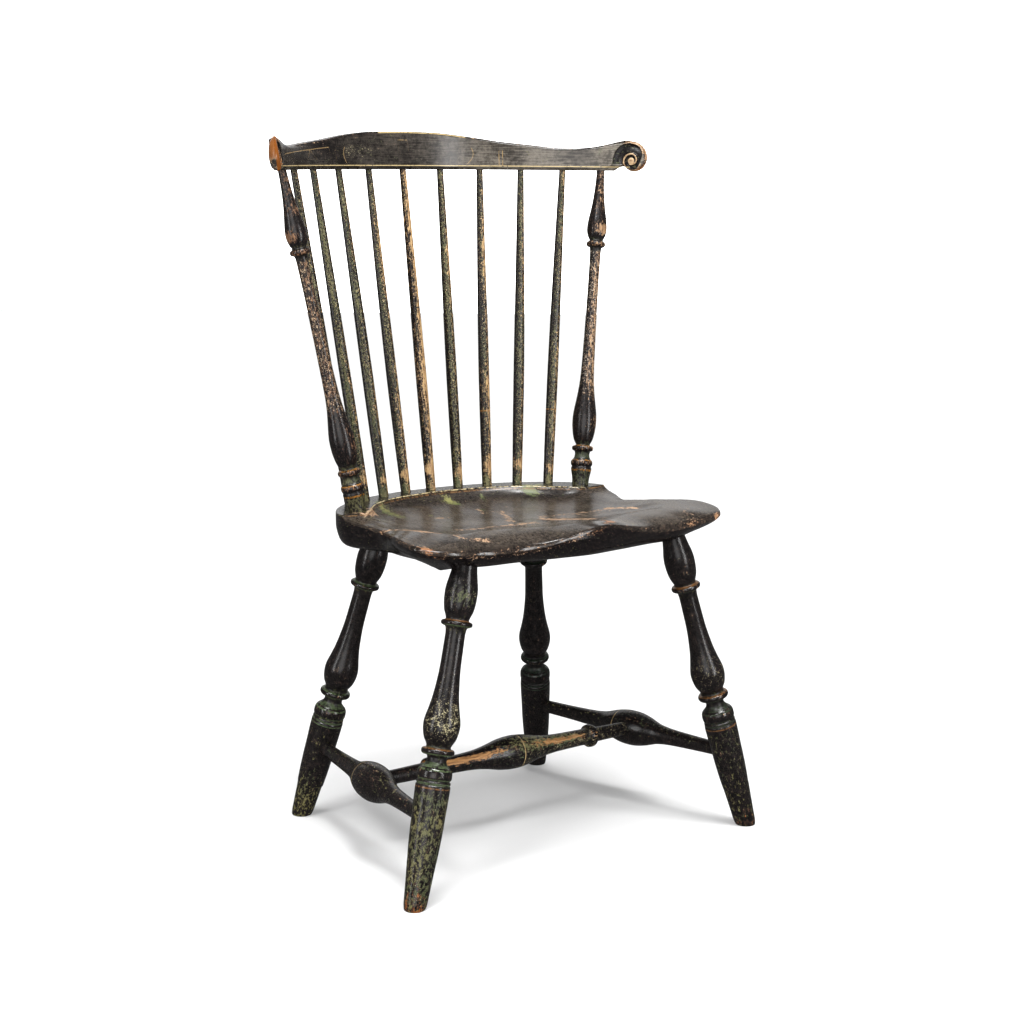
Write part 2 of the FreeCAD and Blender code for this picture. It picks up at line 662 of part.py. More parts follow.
def ear(name, flip):
    """The board's end with its volute, flat, then set on the bend and leaned with the board."""
    eye_up = size("ear_eye_height")
    neck = ear_points(EAR_NECK_TOP_SHARES)
    cove = ear_points(EAR_COVE_SHARES)
    rim = [spiral_point(step) for step in range(RIM_STEPS)]
    low = V(neck[0].x, -eye_up, 0)
    toe = V(cove[-1].x, -eye_up, 0)
    edges = [smooth_edge(neck + rim), smooth_edge([rim[-1]] + cove[:2] + [toe]),
             Part.makeLine(toe, low), Part.makeLine(low, neck[0])]
    thickness = size("ear_thickness")
    depth = size("ear_carving_depth")
    board = Part.Face(Part.Wire(edges)).extrude(V(0, 0, -thickness))
    recess = Part.Face(Part.Wire([smooth_edge(ear_points(EAR_RECESS_SHARES), True)]))
    board = board.cut(recess.extrude(V(0, 0, -depth)))
    width = size("ear_rim_width")
    turns = range(RIDGE_FIRST_STEP, len(EAR_SPIRAL_SHARES))
    outside = [spiral_point(step, width * RIDGE_INSET_SHARE) for step in turns]
    inside = [spiral_point(step, width * (1 + RIDGE_INSET_SHARE)) for step in turns]
    ridge_edges = [smooth_edge(outside), Part.makeLine(outside[-1], inside[-1]), smooth_edge(inside),
                   Part.makeLine(inside[0], outside[0])]
    floor_depth = (depth + thickness) / 2
    ridge = Part.Face(Part.Wire(ridge_edges)).extrude(V(0, 0, -floor_depth))
    eye = Part.makeCylinder(size("ear_eye_radius"), floor_depth, V(0, 0, -floor_depth))
    board = board.fuse([ridge, eye])
    arc = size("ear_eye_arc") / size("crest_bend")
    lean = math.radians(size("crest_lean_angle"))
    out = V(math.sin(arc), math.cos(arc), 0)
    along = V(math.cos(arc), -math.sin(arc), 0)
    upward = out * math.sin(lean) + UP * math.cos(lean)
    facing = along.cross(upward)
    reach = size("crest_bend") + eye_up * math.tan(lean) - thickness / 2
    centre = V(0, size("crest_line_rearward") - size("crest_bend"), size("crest_underside_height"))
    place = FreeCAD.Matrix(along.x, upward.x, facing.x, 0, along.y, upward.y, facing.y, 0,
                           along.z, upward.z, facing.z, 0, 0, 0, 0, 1)
    board = board.transformGeometry(place)
    board.translate(centre + out * reach + UP * eye_up)
    if flip:
        board = board.mirror(V(0, 0, 0), ACROSS)
    feature = doc.addObject("Part::Feature", name)
    feature.Shape = board
    return feature


crest_blank = doc.addObject("Part::MultiFuse", "crest_blank")
crest_blank.Shapes = [crest_board(), ear("ear_left", True), ear("ear_right", False)]
keep("crest_rail", cut("crest_rail", crest_blank, crest_tools))


# Seat plank, drawn flat with its top at height zero and then tilted. Each station on its right-hand
# edge, from the middle of the back to the middle of the front, gives shares of: half width and
# depth to the edge, undercut, depth of the edge, where the ridge of the hollow lies between the
# hollow's middle and the edge, and depth of that ridge.
STATION_SHARES = (
    (0.000, 1.000, 0.50, 0.40, 0.78, 0.50),
    (0.276, 0.957, 0.50, 0.40, 0.79, 0.50),
    (0.504, 0.846, 0.50, 0.40, 0.78, 0.50),
    (0.688, 0.667, 0.52, 0.40, 0.79, 0.50),
    (0.816, 0.463, 0.56, 0.40, 0.80, 0.50),
    (0.884, 0.235, 0.62, 0.42, 0.82, 0.45),
    (0.864, 0.012, 0.70, 0.46, 0.88, 0.40),
    (0.828, -0.161, 0.80, 0.59, 0.94, 0.28),
    (0.888, -0.347, 0.90, 0.42, 0.90, 0.22),
    (0.964, -0.500, 0.95, 0.26, 0.85, 0.18),
    (1.000, -0.636, 1.00, 0.29, 0.78, 0.18),
    (0.984, -0.780, 1.00, 0.54, 0.76, 0.20),
    (0.888, -0.877, 1.00, 0.95, 0.76, 0.22),
    (0.688, -0.903, 1.00, 1.00, 0.75, 0.22),
    (0.440, -0.930, 1.00, 0.97, 0.78, 0.22),
    (0.200, -0.975, 1.00, 0.48, 0.82, 0.20),
    (0.000, -1.000, 1.00, 0.08, 0.84, 0.12),
)
OUTLINE_PARTS = (0, 6, 11, 16)
EDGE_LEVEL_SHARES = ((-1.00, 1.00), (-0.80, 0.55), (-0.55, 0.14), (-0.30, 0.0), (0.12, 0.0))
HOLLOW_POWER = 2.6
FALL_POWER = 1.6
FALL_LIMIT_SHARE = 1.3
POMMEL_REACH_SHARE = 0.45
HOLLOW_GRID_ACROSS = 35
HOLLOW_GRID_ALONG = 27


def station_place(station):
    depth = size("seat_back_depth") if station[1] > 0 else size("seat_front_depth")
    return V(station[0] * size("seat_half_width"), station[1] * depth, 0)


def way_round():
    """Each station's share of the way round the right-hand half of the outline."""
    places = [station_place(station) for station in STATION_SHARES]
    runs = [0.0]
    for one, two in zip(places, places[1:]):
        runs.append(runs[-1] + (two - one).Length)
    return [run / runs[-1] for run in runs]


def edge_outline(share_down, share_in):
    """The plank's outline at one level, drawn in by its share of the undercut."""
    places = [station_place(station) for station in STATION_SHARES]
    half = []
    for index, (place, station) in enumerate(zip(places, STATION_SHARES)):
        before = places[index - 1] if index else V(-places[1].x, places[1].y, 0)
        after = places[index + 1] if index + 1 < len(places) else V(-places[-2].x, places[-2].y, 0)
        along = after - before
        inward = V(along.y, -along.x, 0).normalize()
        inset = size("seat_undercut") * station[2] * share_in
        half.append(place + inward * inset + UP * (share_down * size("seat_thickness")))
    shares = way_round()
    curve = Part.BSplineCurve()
    curve.interpolate(Points=half, Parameters=shares, InitialTangent=ACROSS, FinalTangent=-ACROSS)
    ends = [shares[index] for index in OUTLINE_PARTS]
    right = [curve.toShape(start, end) for start, end in zip(ends, ends[1:])]
    left = [edge.mirror(V(0, 0, 0), ACROSS) for edge in reversed(right)]
    return Part.Wire(right + left)


def smooth_between(values, place):
    """A smooth value at a fractional place along a list, on a Catmull-Rom curve."""
    index = min(int(place), len(values) - 2)
    share = place - index
    one, two = values[index], values[index + 1]
    before = values[index - 1] if index else two
    after = values[index + 2] if index + 2 < len(values) else one
    return 0.5 * (2 * one + (two - before) * share
                  + (2 * before - 5 * one + 4 * two - after) * share ** 2
                  + (3 * one - before - 3 * two + after) * share ** 3)


def hollow_middle():
    return V(0, size("ledge_end_station"), 0)


STATION_ANGLES = [math.atan2((station_place(station) - hollow_middle()).x,
                             (station_place(station) - hollow_middle()).y)
                  for station in STATION_SHARES]


def station_at(angle):
    """The fractional place along the stations in this direction from the hollow's middle."""
    for index in range(len(STATION_ANGLES) - 1):
        start, end = STATION_ANGLES[index:index + 2]
        if angle <= end:
            return index + max(0.0, (angle - start) / (end - start))
    return len(STATION_ANGLES) - 1.0


def hollow_depth(across, along):
    """How far the carved top lies under the plank's flat top."""
    front = max(0.0, -along / size("seat_front_depth"))
    near = math.exp(-(across / (POMMEL_REACH_SHARE * size("seat_half_width"))) ** 2)
    across = across - size("pommel_shift") * near * front
    offset = V(abs(across), along, 0) - hollow_middle()
    place = station_at(math.atan2(offset.x, offset.y))
    reach = smooth_between([(station_place(item) - hollow_middle()).Length
                            for item in STATION_SHARES], place)
    edge = size("seat_edge_depth") * smooth_between([item[3] for item in STATION_SHARES], place)
    ridge_reach = reach * smooth_between([item[4] for item in STATION_SHARES], place)
    ridge = size("seat_hollow_depth") * smooth_between([item[5] for item in STATION_SHARES], place)
    middle = size("seat_hollow_depth")
    if offset.Length < ridge_reach:
        return middle + (ridge - middle) * (offset.Length / ridge_reach) ** HOLLOW_POWER
    beyond = (offset.Length - ridge_reach) / (reach - ridge_reach)
    return ridge + (edge - ridge) * min(beyond, FALL_LIMIT_SHARE) ** FALL_POWER


def spread(low, high, count):
    return [low + (high - low) * index / (count - 1) for index in range(count)]


def carved_top():
    """Everything above the carved top surface, over the whole plank."""
    side = OVERHANG_SHARE * size("seat_half_width")
    front = OVERHANG_SHARE * size("seat_front_depth")
    back = OVERHANG_SHARE * size("seat_back_depth")
    grid = [[V(across, along, -hollow_depth(across, along))
             for along in spread(-front, back, HOLLOW_GRID_ALONG)]
            for across in spread(-side, side, HOLLOW_GRID_ACROSS)]
    surface = Part.BSplineSurface()
    surface.interpolate(grid)
    return surface.toShape().extrude(UP * size("seat_thickness"))


def ellipse_wire(half_across, half_along, height):
    ellipse = Part.Ellipse(V(0, 0, 0), half_across, half_along)
    return Part.Wire([ellipse.toShape()]).translated(hollow_middle() + UP * height)


def ledge_block():
    """The raised crescent at the back: a block with a sloping hollow wall and sloping ends."""
    deep = size("ledge_wall_depth")
    run = size("ledge_wall_slope_run")
    half_along = size("ledge_hollow_back") - size("ledge_end_station")
    rise = deep / 2
    slope = run / deep
    end_slope = size("ledge_end_run") / deep
    levels = (-deep, rise)
    rings = [ellipse_wire(size("ledge_half_width") + slope * level, half_along + slope * level, level)
             for level in levels]
    hollow = Part.makeLoft(rings, True, True)
    frames = []
    for level in levels:
        front = size("ledge_end_rearward") + end_slope * level
        back = OVERRUN_SHARE * size("seat_back_depth")
        side = OVERRUN_SHARE * size("seat_half_width")
        corners = [V(-side, front, level), V(side, front, level), V(side, back, level),
                   V(-side, back, level)]
        frames.append(Part.makePolygon(corners + corners[:1]))
    return Part.makeLoft(frames, True, True).cut(hollow)


def seat_blank():
    """The shaped plank: carved below the hollow, and left flat on its raised ledge."""
    plank = Part.makeLoft([edge_outline(*level) for level in EDGE_LEVEL_SHARES], True, False)
    width = OVERRUN_SHARE * 2 * size("seat_half_width")
    depth = OVERRUN_SHARE * 2 * size("seat_front_depth")
    above = Part.makeBox(width, depth, size("seat_thickness"), V(-width / 2, -depth / 2, 0))
    plank = plank.cut(above)
    feature = doc.addObject("Part::Feature", "seat_blank")
    feature.Shape = plank.cut(carved_top()).fuse(plank.common(ledge_block()))
    height = value_of(seat_top_at("0"))
    tilt = FreeCAD.Rotation(ACROSS, -size("seat_tilt_angle"))
    feature.Placement = FreeCAD.Placement(V(0, 0, height), tilt)
    return feature


keep("seat", cut("seat", seat_blank(), seat_tools))

doc.recompute()
for item in doc.Objects:
    if "Invalid" in item.State or "Error" in item.State:
        raise RuntimeError(f"{item.Label} failed to build: {item.State}")
for name, piece in PIECES.items():
    if piece.Shape.isNull() or not piece.Shape.isValid():
        raise RuntimeError(f"{name} has no valid shape")
    print(name, len(piece.Shape.Solids), round(piece.Shape.Volume))
for name, piece in PIECES.items():
    piece.Shape.exportStep(f"parts/{name}.step")
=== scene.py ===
import math
from collections import namedtuple

import bpy
import numpy as np
from mathutils import Matrix, Vector


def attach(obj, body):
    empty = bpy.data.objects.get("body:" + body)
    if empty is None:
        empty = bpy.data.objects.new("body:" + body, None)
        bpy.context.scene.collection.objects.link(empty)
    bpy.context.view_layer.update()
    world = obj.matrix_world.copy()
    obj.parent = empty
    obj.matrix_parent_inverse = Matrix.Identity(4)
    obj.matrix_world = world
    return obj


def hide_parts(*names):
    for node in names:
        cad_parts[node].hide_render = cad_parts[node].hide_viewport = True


# A fan-back side chair in worn brown-black paint over green, with ochre lines, on a white floor.
# Metres in Blender; the tables below are in millimetres and are multiplied by MM.

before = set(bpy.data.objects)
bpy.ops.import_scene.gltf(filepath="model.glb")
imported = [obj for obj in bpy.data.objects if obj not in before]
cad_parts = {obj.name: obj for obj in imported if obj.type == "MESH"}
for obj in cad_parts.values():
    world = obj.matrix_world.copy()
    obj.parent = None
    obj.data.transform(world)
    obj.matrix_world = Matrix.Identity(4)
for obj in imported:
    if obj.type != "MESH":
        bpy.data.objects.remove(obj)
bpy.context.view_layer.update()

MM = 0.001
TURN = 2 * math.pi
UP = np.array((0.0, 0.0, 1.0))
FRONT = np.array((0.0, -1.0, 0.0))


# Places shared with the solids
SEAT_HEIGHT = 450.0
SEAT_STATION = 110.0
SEAT_TILT = math.radians(1.4)
SEAT_THICKNESS = 50.0
SEAT_HALF_WIDTH = 251.0
SEAT_BACK = 162.0
SEAT_FRONT = 236.0
SEAT_HOLLOW = 24.0
SEAT_EDGE = 23.0
SEAT_UNDERCUT = 42.0
POMMEL_SHIFT = 12.0
LEDGE_END = 5.0
CREST_UNDER = 899.0
CREST_BEND = 355.0
CREST_LINE = 222.45
CREST_LEAN = math.radians(9.5)


def seat_top(rearward):
    """Height of the plank's flat top plane, in mm, which rises towards the front."""
    return SEAT_HEIGHT + (SEAT_STATION - rearward) * math.tan(SEAT_TILT)


def on_arc(line, bend, degrees, height):
    """A point in mm on an arc of this bend radius, centred on the chair's middle plane."""
    angle = math.radians(degrees)
    return np.array((bend * math.sin(angle), line - bend + bend * math.cos(angle), height))


def flipped(point):
    return np.array((-point[0], point[1], point[2]))


def placed(name, data):
    """A new object with this data, in the scene."""
    thing = bpy.data.objects.new(name, data)
    bpy.context.scene.collection.objects.link(thing)
    return thing


# Meshes from whole arrays
def smooth_line(places, table):
    """A line through the table's points that never overshoots them: a cubic in each gap, whose end
    slopes are the harmonic means of the two chords that meet there."""
    x, y = np.array(table, float).T
    gap = np.diff(x)
    chord = np.diff(y) / gap
    rising = chord[:-1] * chord[1:] > 0
    total = np.where(rising, chord[:-1] + chord[1:], 1.0)
    slope = np.concatenate([chord[:1], np.where(rising, 2 * chord[:-1] * chord[1:] / total, 0.0),
                            chord[-1:]])
    at = np.clip(np.searchsorted(x, places, side="right") - 1, 0, len(gap) - 1)
    run = gap[at]
    share = np.clip((places - x[at]) / run, 0.0, 1.0)
    rest = 1 - share
    return (y[at] * (1 + 2 * share) * rest ** 2 + slope[at] * run * share * rest ** 2
            + y[at + 1] * share ** 2 * (3 - 2 * share) - slope[at + 1] * run * share ** 2 * rest)


def ease(low, high, values):
    """Nought below low and one above high, with a smooth S between."""
    share = np.clip((values - low) / (high - low), 0.0, 1.0)
    return share * share * (3 - 2 * share)


def hump(values, middle, width):
    """A bell of height one about the middle: e to the minus square of the distance over the width."""
    return np.exp(-((values - middle) / width) ** 2)


def toward(angle, degrees, power=1.0):
    """One at this bearing round a turned piece and nought at the opposite one: half of one plus the
    cosine, raised to the power."""
    return ((1 + np.cos(angle - math.radians(degrees))) / 2) ** power


def ripple(seed, *fields):
    """Slow unevenness between about minus one and one: a sum of sines of the fields, with phases
    drawn from the seed."""
    draw = np.random.default_rng(seed)
    total = 0.0
    for octave in range(1, 4):
        wave = sum(draw.uniform(0.6, 1.4) * octave * field for field in fields)
        total = total + np.sin(wave + draw.uniform(0, TURN)) / octave
    return total / 1.8


def tube_faces(rows, columns):
    """Quads from each ring of points to the next, closed round, and a fan at each end whose centre
    is one of two extra points after the rings."""
    row, column = np.meshgrid(np.arange(rows - 1), np.arange(columns), indexing="ij")
    here = row * columns + column
    beside = row * columns + (column + 1) % columns
    quads = np.stack([here, beside, beside + columns, here + columns], -1).reshape(-1, 4)
    ring = np.arange(columns)
    after = (ring + 1) % columns
    last = (rows - 1) * columns
    first_pole = rows * columns
    start_fan = np.stack([after, ring, np.full(columns, first_pole)], -1)
    end_fan = np.stack([ring + last, after + last, np.full(columns, first_pole + 1)], -1)
    return quads, np.concatenate([start_fan, end_fan])


def signed_volume(points, quads, triangles):
    """Six times the volume inside the faces: positive when they point outwards."""
    all_three = np.concatenate([quads[:, (0, 1, 2)], quads[:, (0, 2, 3)], triangles])
    a, b, c = (points[all_three[:, corner]] for corner in range(3))
    return float(np.einsum("ij,ij->i", a, np.cross(b, c)).sum())


def closed_tube(name, rings, fields, node, material):
    """A closed skin over rings of points, an array of rows by columns by three in metres. The fields
    are arrays of rows by columns, or rows by columns by three, kept as attributes of the points."""
    rows, columns = rings.shape[:2]
    poles = rings[[0, -1]].mean(axis=1)
    points = np.concatenate([rings.reshape(-1, 3), poles])
    quads, triangles = tube_faces(rows, columns)
    if signed_volume(points, quads, triangles) < 0:
        quads, triangles = quads[:, ::-1], triangles[:, ::-1]
    mesh = bpy.data.meshes.new(name)
    mesh.vertices.add(len(points))
    mesh.vertices.foreach_set("co", points.astype(np.float32).ravel())
    corners = np.concatenate([quads.ravel(), triangles.ravel()])
    starts = np.concatenate([np.arange(len(quads)) * 4, len(quads) * 4 + np.arange(len(triangles)) * 3])
    mesh.loops.add(len(corners))
    mesh.loops.foreach_set("vertex_index", corners.astype(np.int32))
    mesh.polygons.add(len(starts))
    mesh.polygons.foreach_set("loop_start", starts.astype(np.int32))
    mesh.update(calc_edges=True)
    mesh.shade_smooth()
    for field, values in fields.items():
        flat = values.reshape(rows * columns, -1)
        ends = np.stack([values[row].reshape(columns, -1).mean(axis=0) for row in (0, -1)])
        whole = np.concatenate([flat, ends]).astype(np.float32).ravel()
        if values.ndim == 3:
            mesh.attributes.new(field, "FLOAT_VECTOR", "POINT").data.foreach_set("vector", whole)
        else:
            mesh.attributes.new(field, "FLOAT", "POINT").data.foreach_set("value", whole)
    mesh.materials.append(material)
    piece = placed(name, mesh)
    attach(piece, "root")
    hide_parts(node)
    return piece


# Shader building
def put(tree, kind, inputs=None, **settings):
    """A new node with its settings, and its inputs either linked or set."""
    made = tree.nodes.new(kind)
    for setting, value in settings.items():
        setattr(made, setting, value)
    for key, value in (inputs or {}).items():
        if isinstance(value, bpy.types.NodeSocket):
            tree.links.new(value, made.inputs[key])
        else:
            made.inputs[key].default_value = value
    return made


def maths(tree, operation, *values):
    """A Math node's result."""
    return put(tree, "ShaderNodeMath", dict(enumerate(values)), operation=operation).outputs[0]


def added(tree, base, *terms):
    """The base plus each product of a (value, factor) pair."""
    for value, factor in terms:
        base = maths(tree, "MULTIPLY_ADD", value, factor, base)
    return base


def widened(tree, value, gain, middle=0.5):
    """A noise whose spread about its mean of a half is multiplied and moved to this middle."""
    return maths(tree, "MULTIPLY_ADD", maths(tree, "SUBTRACT", value, 0.5), gain, middle)


def step_up(tree, value, low, high, start=0.0, end=1.0):
    """A smooth step of the value from low to high."""
    return put(tree, "ShaderNodeMapRange",
               {"Value": value, "From Min": low, "From Max": high, "To Min": start, "To Max": end},
               interpolation_type="SMOOTHSTEP").outputs["Result"]


def blend(tree, share, first, second):
    """One colour over another by a share."""
    return put(tree, "ShaderNodeMix", {0: share, 6: first, 7: second}, data_type="RGBA").outputs[2]


def noise(tree, vector, scale, detail, roughness):
    inputs = {"Vector": vector, "Scale": scale, "Detail": detail, "Roughness": roughness}
    return put(tree, "ShaderNodeTexNoise", inputs).outputs["Fac"]


def stretched(tree, vector, x, y, z):
    """The vector with each part multiplied."""
    parts = put(tree, "ShaderNodeCombineXYZ", {0: x, 1: y, 2: z}).outputs[0]
    return put(tree, "ShaderNodeVectorMath", {0: vector, 1: parts}, operation="MULTIPLY").outputs[0]


def moved(tree, vector, offset):
    return put(tree, "ShaderNodeVectorMath", {0: vector, 1: offset}, operation="ADD").outputs[0]


NUMBER, COLOUR, ARROW = "NodeSocketFloat", "NodeSocketColor", "NodeSocketVector"


def group(name, inputs, outputs):
    """An empty shader group, with its inputs' and outputs' sockets. An input is a number, a colour or,
    where its value is None, a vector."""
    tree = bpy.data.node_groups.new(name, "ShaderNodeTree")
    for label, value in inputs.items():
        kind = ARROW if value is None else COLOUR if isinstance(value, tuple) else NUMBER
        socket = tree.interface.new_socket(label, in_out="INPUT", socket_type=kind)
        if value is not None:
            socket.default_value = value
    for label, kind in outputs.items():
        tree.interface.new_socket(label, in_out="OUTPUT", socket_type=kind)
    return tree, tree.nodes.new("NodeGroupInput").outputs, tree.nodes.new("NodeGroupOutput").inputs


def colour(red, green, blue):
    return (red, green, blue, 1.0)


def make_layers_group():
    """Old paint in three layers. A mix of grain streaks and chips, raised by the wear and by the rub
    on raised edges, opens the dark coat to bare wood, and a mottle raised by the green opens it to
    the green below. Dust, which also stands for painted sheen, lightens the coat, and pale flecks
    lie on all. Polish lowers the roughness."""
    tree, given, result = group(
        "worn_layers",
        {"Spot": None, "Wear": 0.2, "Green": 0.2, "Relief": 0.0, "Dust": 0.0, "Tint": 0.0,
         "Across": 420.0, "Along": 26.0, "Grain Share": 0.6, "Flecks": 0.0, "Edge Rub": 0.15,
         "Polish": 0.0, "Mottle": 230.0, "Chip Scale": 130.0,
         "Coat Dark": colour(0.0045, 0.0036, 0.004), "Coat Light": colour(0.016, 0.0125, 0.0125),
         "Dust Colour": colour(0.105, 0.086, 0.068),
         "Green Deep": colour(0.048, 0.072, 0.04), "Green Olive": colour(0.125, 0.118, 0.055),
         "Wood Dark": colour(0.12, 0.06, 0.028), "Wood Light": colour(0.45, 0.3, 0.18),
         "Rust": colour(0.24, 0.08, 0.016), "Fleck Colour": colour(0.4, 0.36, 0.22)},
        {"Color": COLOUR, "Roughness": NUMBER, "Height": NUMBER})
    spot = given["Spot"]
    grain_spot = stretched(tree, spot, given["Across"], given["Across"], given["Along"])
    streak = noise(tree, grain_spot, 1.0, 9.0, 0.68)
    fine = noise(tree, spot, 1500.0, 3.0, 0.65)
    chips = noise(tree, moved(tree, spot, (3.1, 1.7, 0.4)), given["Chip Scale"], 9.0, 0.74)
    slow = noise(tree, moved(tree, spot, (7.7, 5.2, 2.9)), 17.0, 2.0, 0.5)
    specks = noise(tree, moved(tree, spot, (4.9, 2.2, 8.8)), 760.0, 3.0, 0.6)
    mottle = noise(tree, stretched(tree, moved(tree, spot, (1.3, 9.1, 4.4)), 1.0, 1.0, 0.6),
                   given["Mottle"], 8.0, 0.76)

    # Where the coat is worn through, thin or green.
    field = put(tree, "ShaderNodeMix", {0: given["Grain Share"], 2: chips, 3: streak}).outputs[0]
    rubbed = added(tree, given["Wear"], (given["Relief"], given["Edge Rub"]))
    open_by = maths(tree, "ADD", widened(tree, field, 3.4), rubbed)
    bare = step_up(tree, open_by, 0.94, 1.04)
    thinned = step_up(tree, open_by, 0.72, 0.98)
    sunk = added(tree, given["Green"], (given["Relief"], -0.15))
    green = step_up(tree, maths(tree, "ADD", widened(tree, mottle, 3.2), sunk), 0.93, 1.05)
    # The dust share, which is also painted sheen, lightens the coat towards the dust colour and roughens it.
    drift = added(tree, 0.0, (slow, 0.2), (streak, 0.45), (chips, 0.35))
    dust_and_sheen_share = maths(tree, "MULTIPLY", given["Dust"], step_up(tree, drift, 0.42, 0.58, 0.22, 1.0))
    often = maths(tree, "MULTIPLY", given["Flecks"], step_up(tree, chips, 0.38, 0.66, 0.35, 1.0))
    dot = step_up(tree, added(tree, specks, (often, 0.26)), 0.745, 0.785)

    # The colour of each layer, and the layers one over another.
    wood = blend(tree, step_up(tree, streak, 0.36, 0.62), given["Wood Dark"], given["Wood Light"])
    wood = blend(tree, step_up(tree, fine, 0.5, 0.7, 0.0, 0.3), wood, colour(0.54, 0.37, 0.2))
    wood = blend(tree, given["Tint"], wood, given["Rust"])
    olive = blend(tree, step_up(tree, slow, 0.4, 0.62), given["Green Deep"], given["Green Olive"])
    olive = blend(tree, step_up(tree, fine, 0.48, 0.68, 0.0, 0.6), olive, colour(0.27, 0.26, 0.13))
    coat = blend(tree, step_up(tree, chips, 0.36, 0.66), given["Coat Dark"], given["Coat Light"])
    coat = blend(tree, thinned, coat, colour(0.05, 0.03, 0.022))
    coat = blend(tree, dust_and_sheen_share, coat, given["Dust Colour"])
    shown = blend(tree, green, coat, olive)
    shown = blend(tree, bare, shown, wood)
    shown = blend(tree, dot, shown, given["Fleck Colour"])

    rough = put(tree, "ShaderNodeMix", {0: bare, 2: 0.25, 3: 0.46}).outputs[0]
    rough = widened(tree, fine, 0.34, added(tree, rough, (dust_and_sheen_share, 0.12)))
    rough = added(tree, rough, (green, 0.14), (given["Relief"], -0.08), (given["Tint"], -0.16))
    rough = maths(tree, "SUBTRACT", rough, given["Polish"])
    height = added(tree, 0.6, (bare, -0.4), (green, -0.12), (fine, 0.12), (streak, 0.4))
    for label, socket in (("Color", shown), ("Roughness", rough), ("Height", height)):
        tree.links.new(socket, result[label])
    return tree


def make_band_group():
    """A painted line at one place along a piece, with ragged edges and rubbed-off gaps."""
    tree, given, result = group(
        "painted_line",
        {"Along": 0.0, "Spot": None, "Place": 0.0, "Half Width": 0.001, "Ragged": 0.0006, "Gaps": 0.35},
        {"Mask": NUMBER})
    rough = noise(tree, given["Spot"], 620.0, 5.0, 0.7)
    off_line = maths(tree, "SUBTRACT", given["Along"], given["Place"])
    strayed = widened(tree, rough, given["Ragged"], off_line)
    inside = maths(tree, "SUBTRACT", given["Half Width"], maths(tree, "ABSOLUTE", strayed))
    line = step_up(tree, inside, -0.00025, 0.00025)
    worn = noise(tree, moved(tree, given["Spot"], (2.2, 8.3, 5.1)), 210.0, 7.0, 0.78)
    kept = step_up(tree, maths(tree, "SUBTRACT", worn, given["Gaps"]), -0.04, 0.04)
    tree.links.new(maths(tree, "MULTIPLY", line, kept), result["Mask"])
    return tree


LAYERS = make_layers_group()
BAND = make_band_group()
OCHRE = colour(0.26, 0.125, 0.03)
PALE_LINE = colour(0.36, 0.27, 0.14)
RUST_LINE = colour(0.13, 0.065, 0.026)
SAGE = colour(0.07, 0.09, 0.048)
COAT_SPECULAR = 0.42
LAYER_FIELDS = ("Wear", "Green", "Relief", "Dust", "Tint", "Flecks")


def read(tree, name, kind="Fac"):
    return put(tree, "ShaderNodeAttribute", attribute_name=name).outputs[kind]


def painted(name, lines=(), bump=0.0003, fields=True, **values):
    """A material of worn layers with its own values for the group's sockets. Its lines are (place,
    half width, gaps, colour) in mm along the piece, or along another of its fields where that is
    named last. A solid that has no fields takes the object's own coordinates."""
    material = bpy.data.materials.new(name)
    material.use_nodes = True
    tree = material.node_tree
    tree.nodes.clear()
    spot = read(tree, "spot", "Vector") if fields else put(tree, "ShaderNodeTexCoord").outputs["Object"]
    layers = put(tree, "ShaderNodeGroup", node_tree=LAYERS)
    for label, value in values.items():
        layers.inputs[label.replace("_", " ")].default_value = value
    for label in LAYER_FIELDS if fields else ():
        tree.links.new(read(tree, label.lower()), layers.inputs[label])
    tree.links.new(spot, layers.inputs["Spot"])
    shown = layers.outputs["Color"]
    height = layers.outputs["Height"]
    for place, half, gaps, line_colour, *field in lines:
        band = put(tree, "ShaderNodeGroup", node_tree=BAND)
        for label, value in (("Along", read(tree, *field or ("along",))), ("Spot", spot)):
            tree.links.new(value, band.inputs[label])
        band.inputs["Place"].default_value = place * MM
        band.inputs["Half Width"].default_value = half * MM
        band.inputs["Gaps"].default_value = gaps
        shown = blend(tree, band.outputs["Mask"], shown, line_colour)
    bumped = put(tree, "ShaderNodeBump", {"Height": height, "Distance": bump, "Strength": 0.8})
    surface = put(tree, "ShaderNodeBsdfPrincipled",
                  {"Base Color": shown, "Roughness": layers.outputs["Roughness"],
                   "Normal": bumped.outputs["Normal"], "Specular IOR Level": COAT_SPECULAR})
    out = put(tree, "ShaderNodeOutputMaterial")
    tree.links.new(surface.outputs["BSDF"], out.inputs["Surface"])
    return material


# Turned pieces
PROFILE_SAMPLES = 4000
STEEP_WEIGHT = 2.2
FOOT_REACH = 60.0
RELIEF_WINDOW = np.linspace(-9, 9, 13)
RELIEF_FULL = 1.6
FACET_DEPTH = 0.018
OPEN_DUST = 0.04


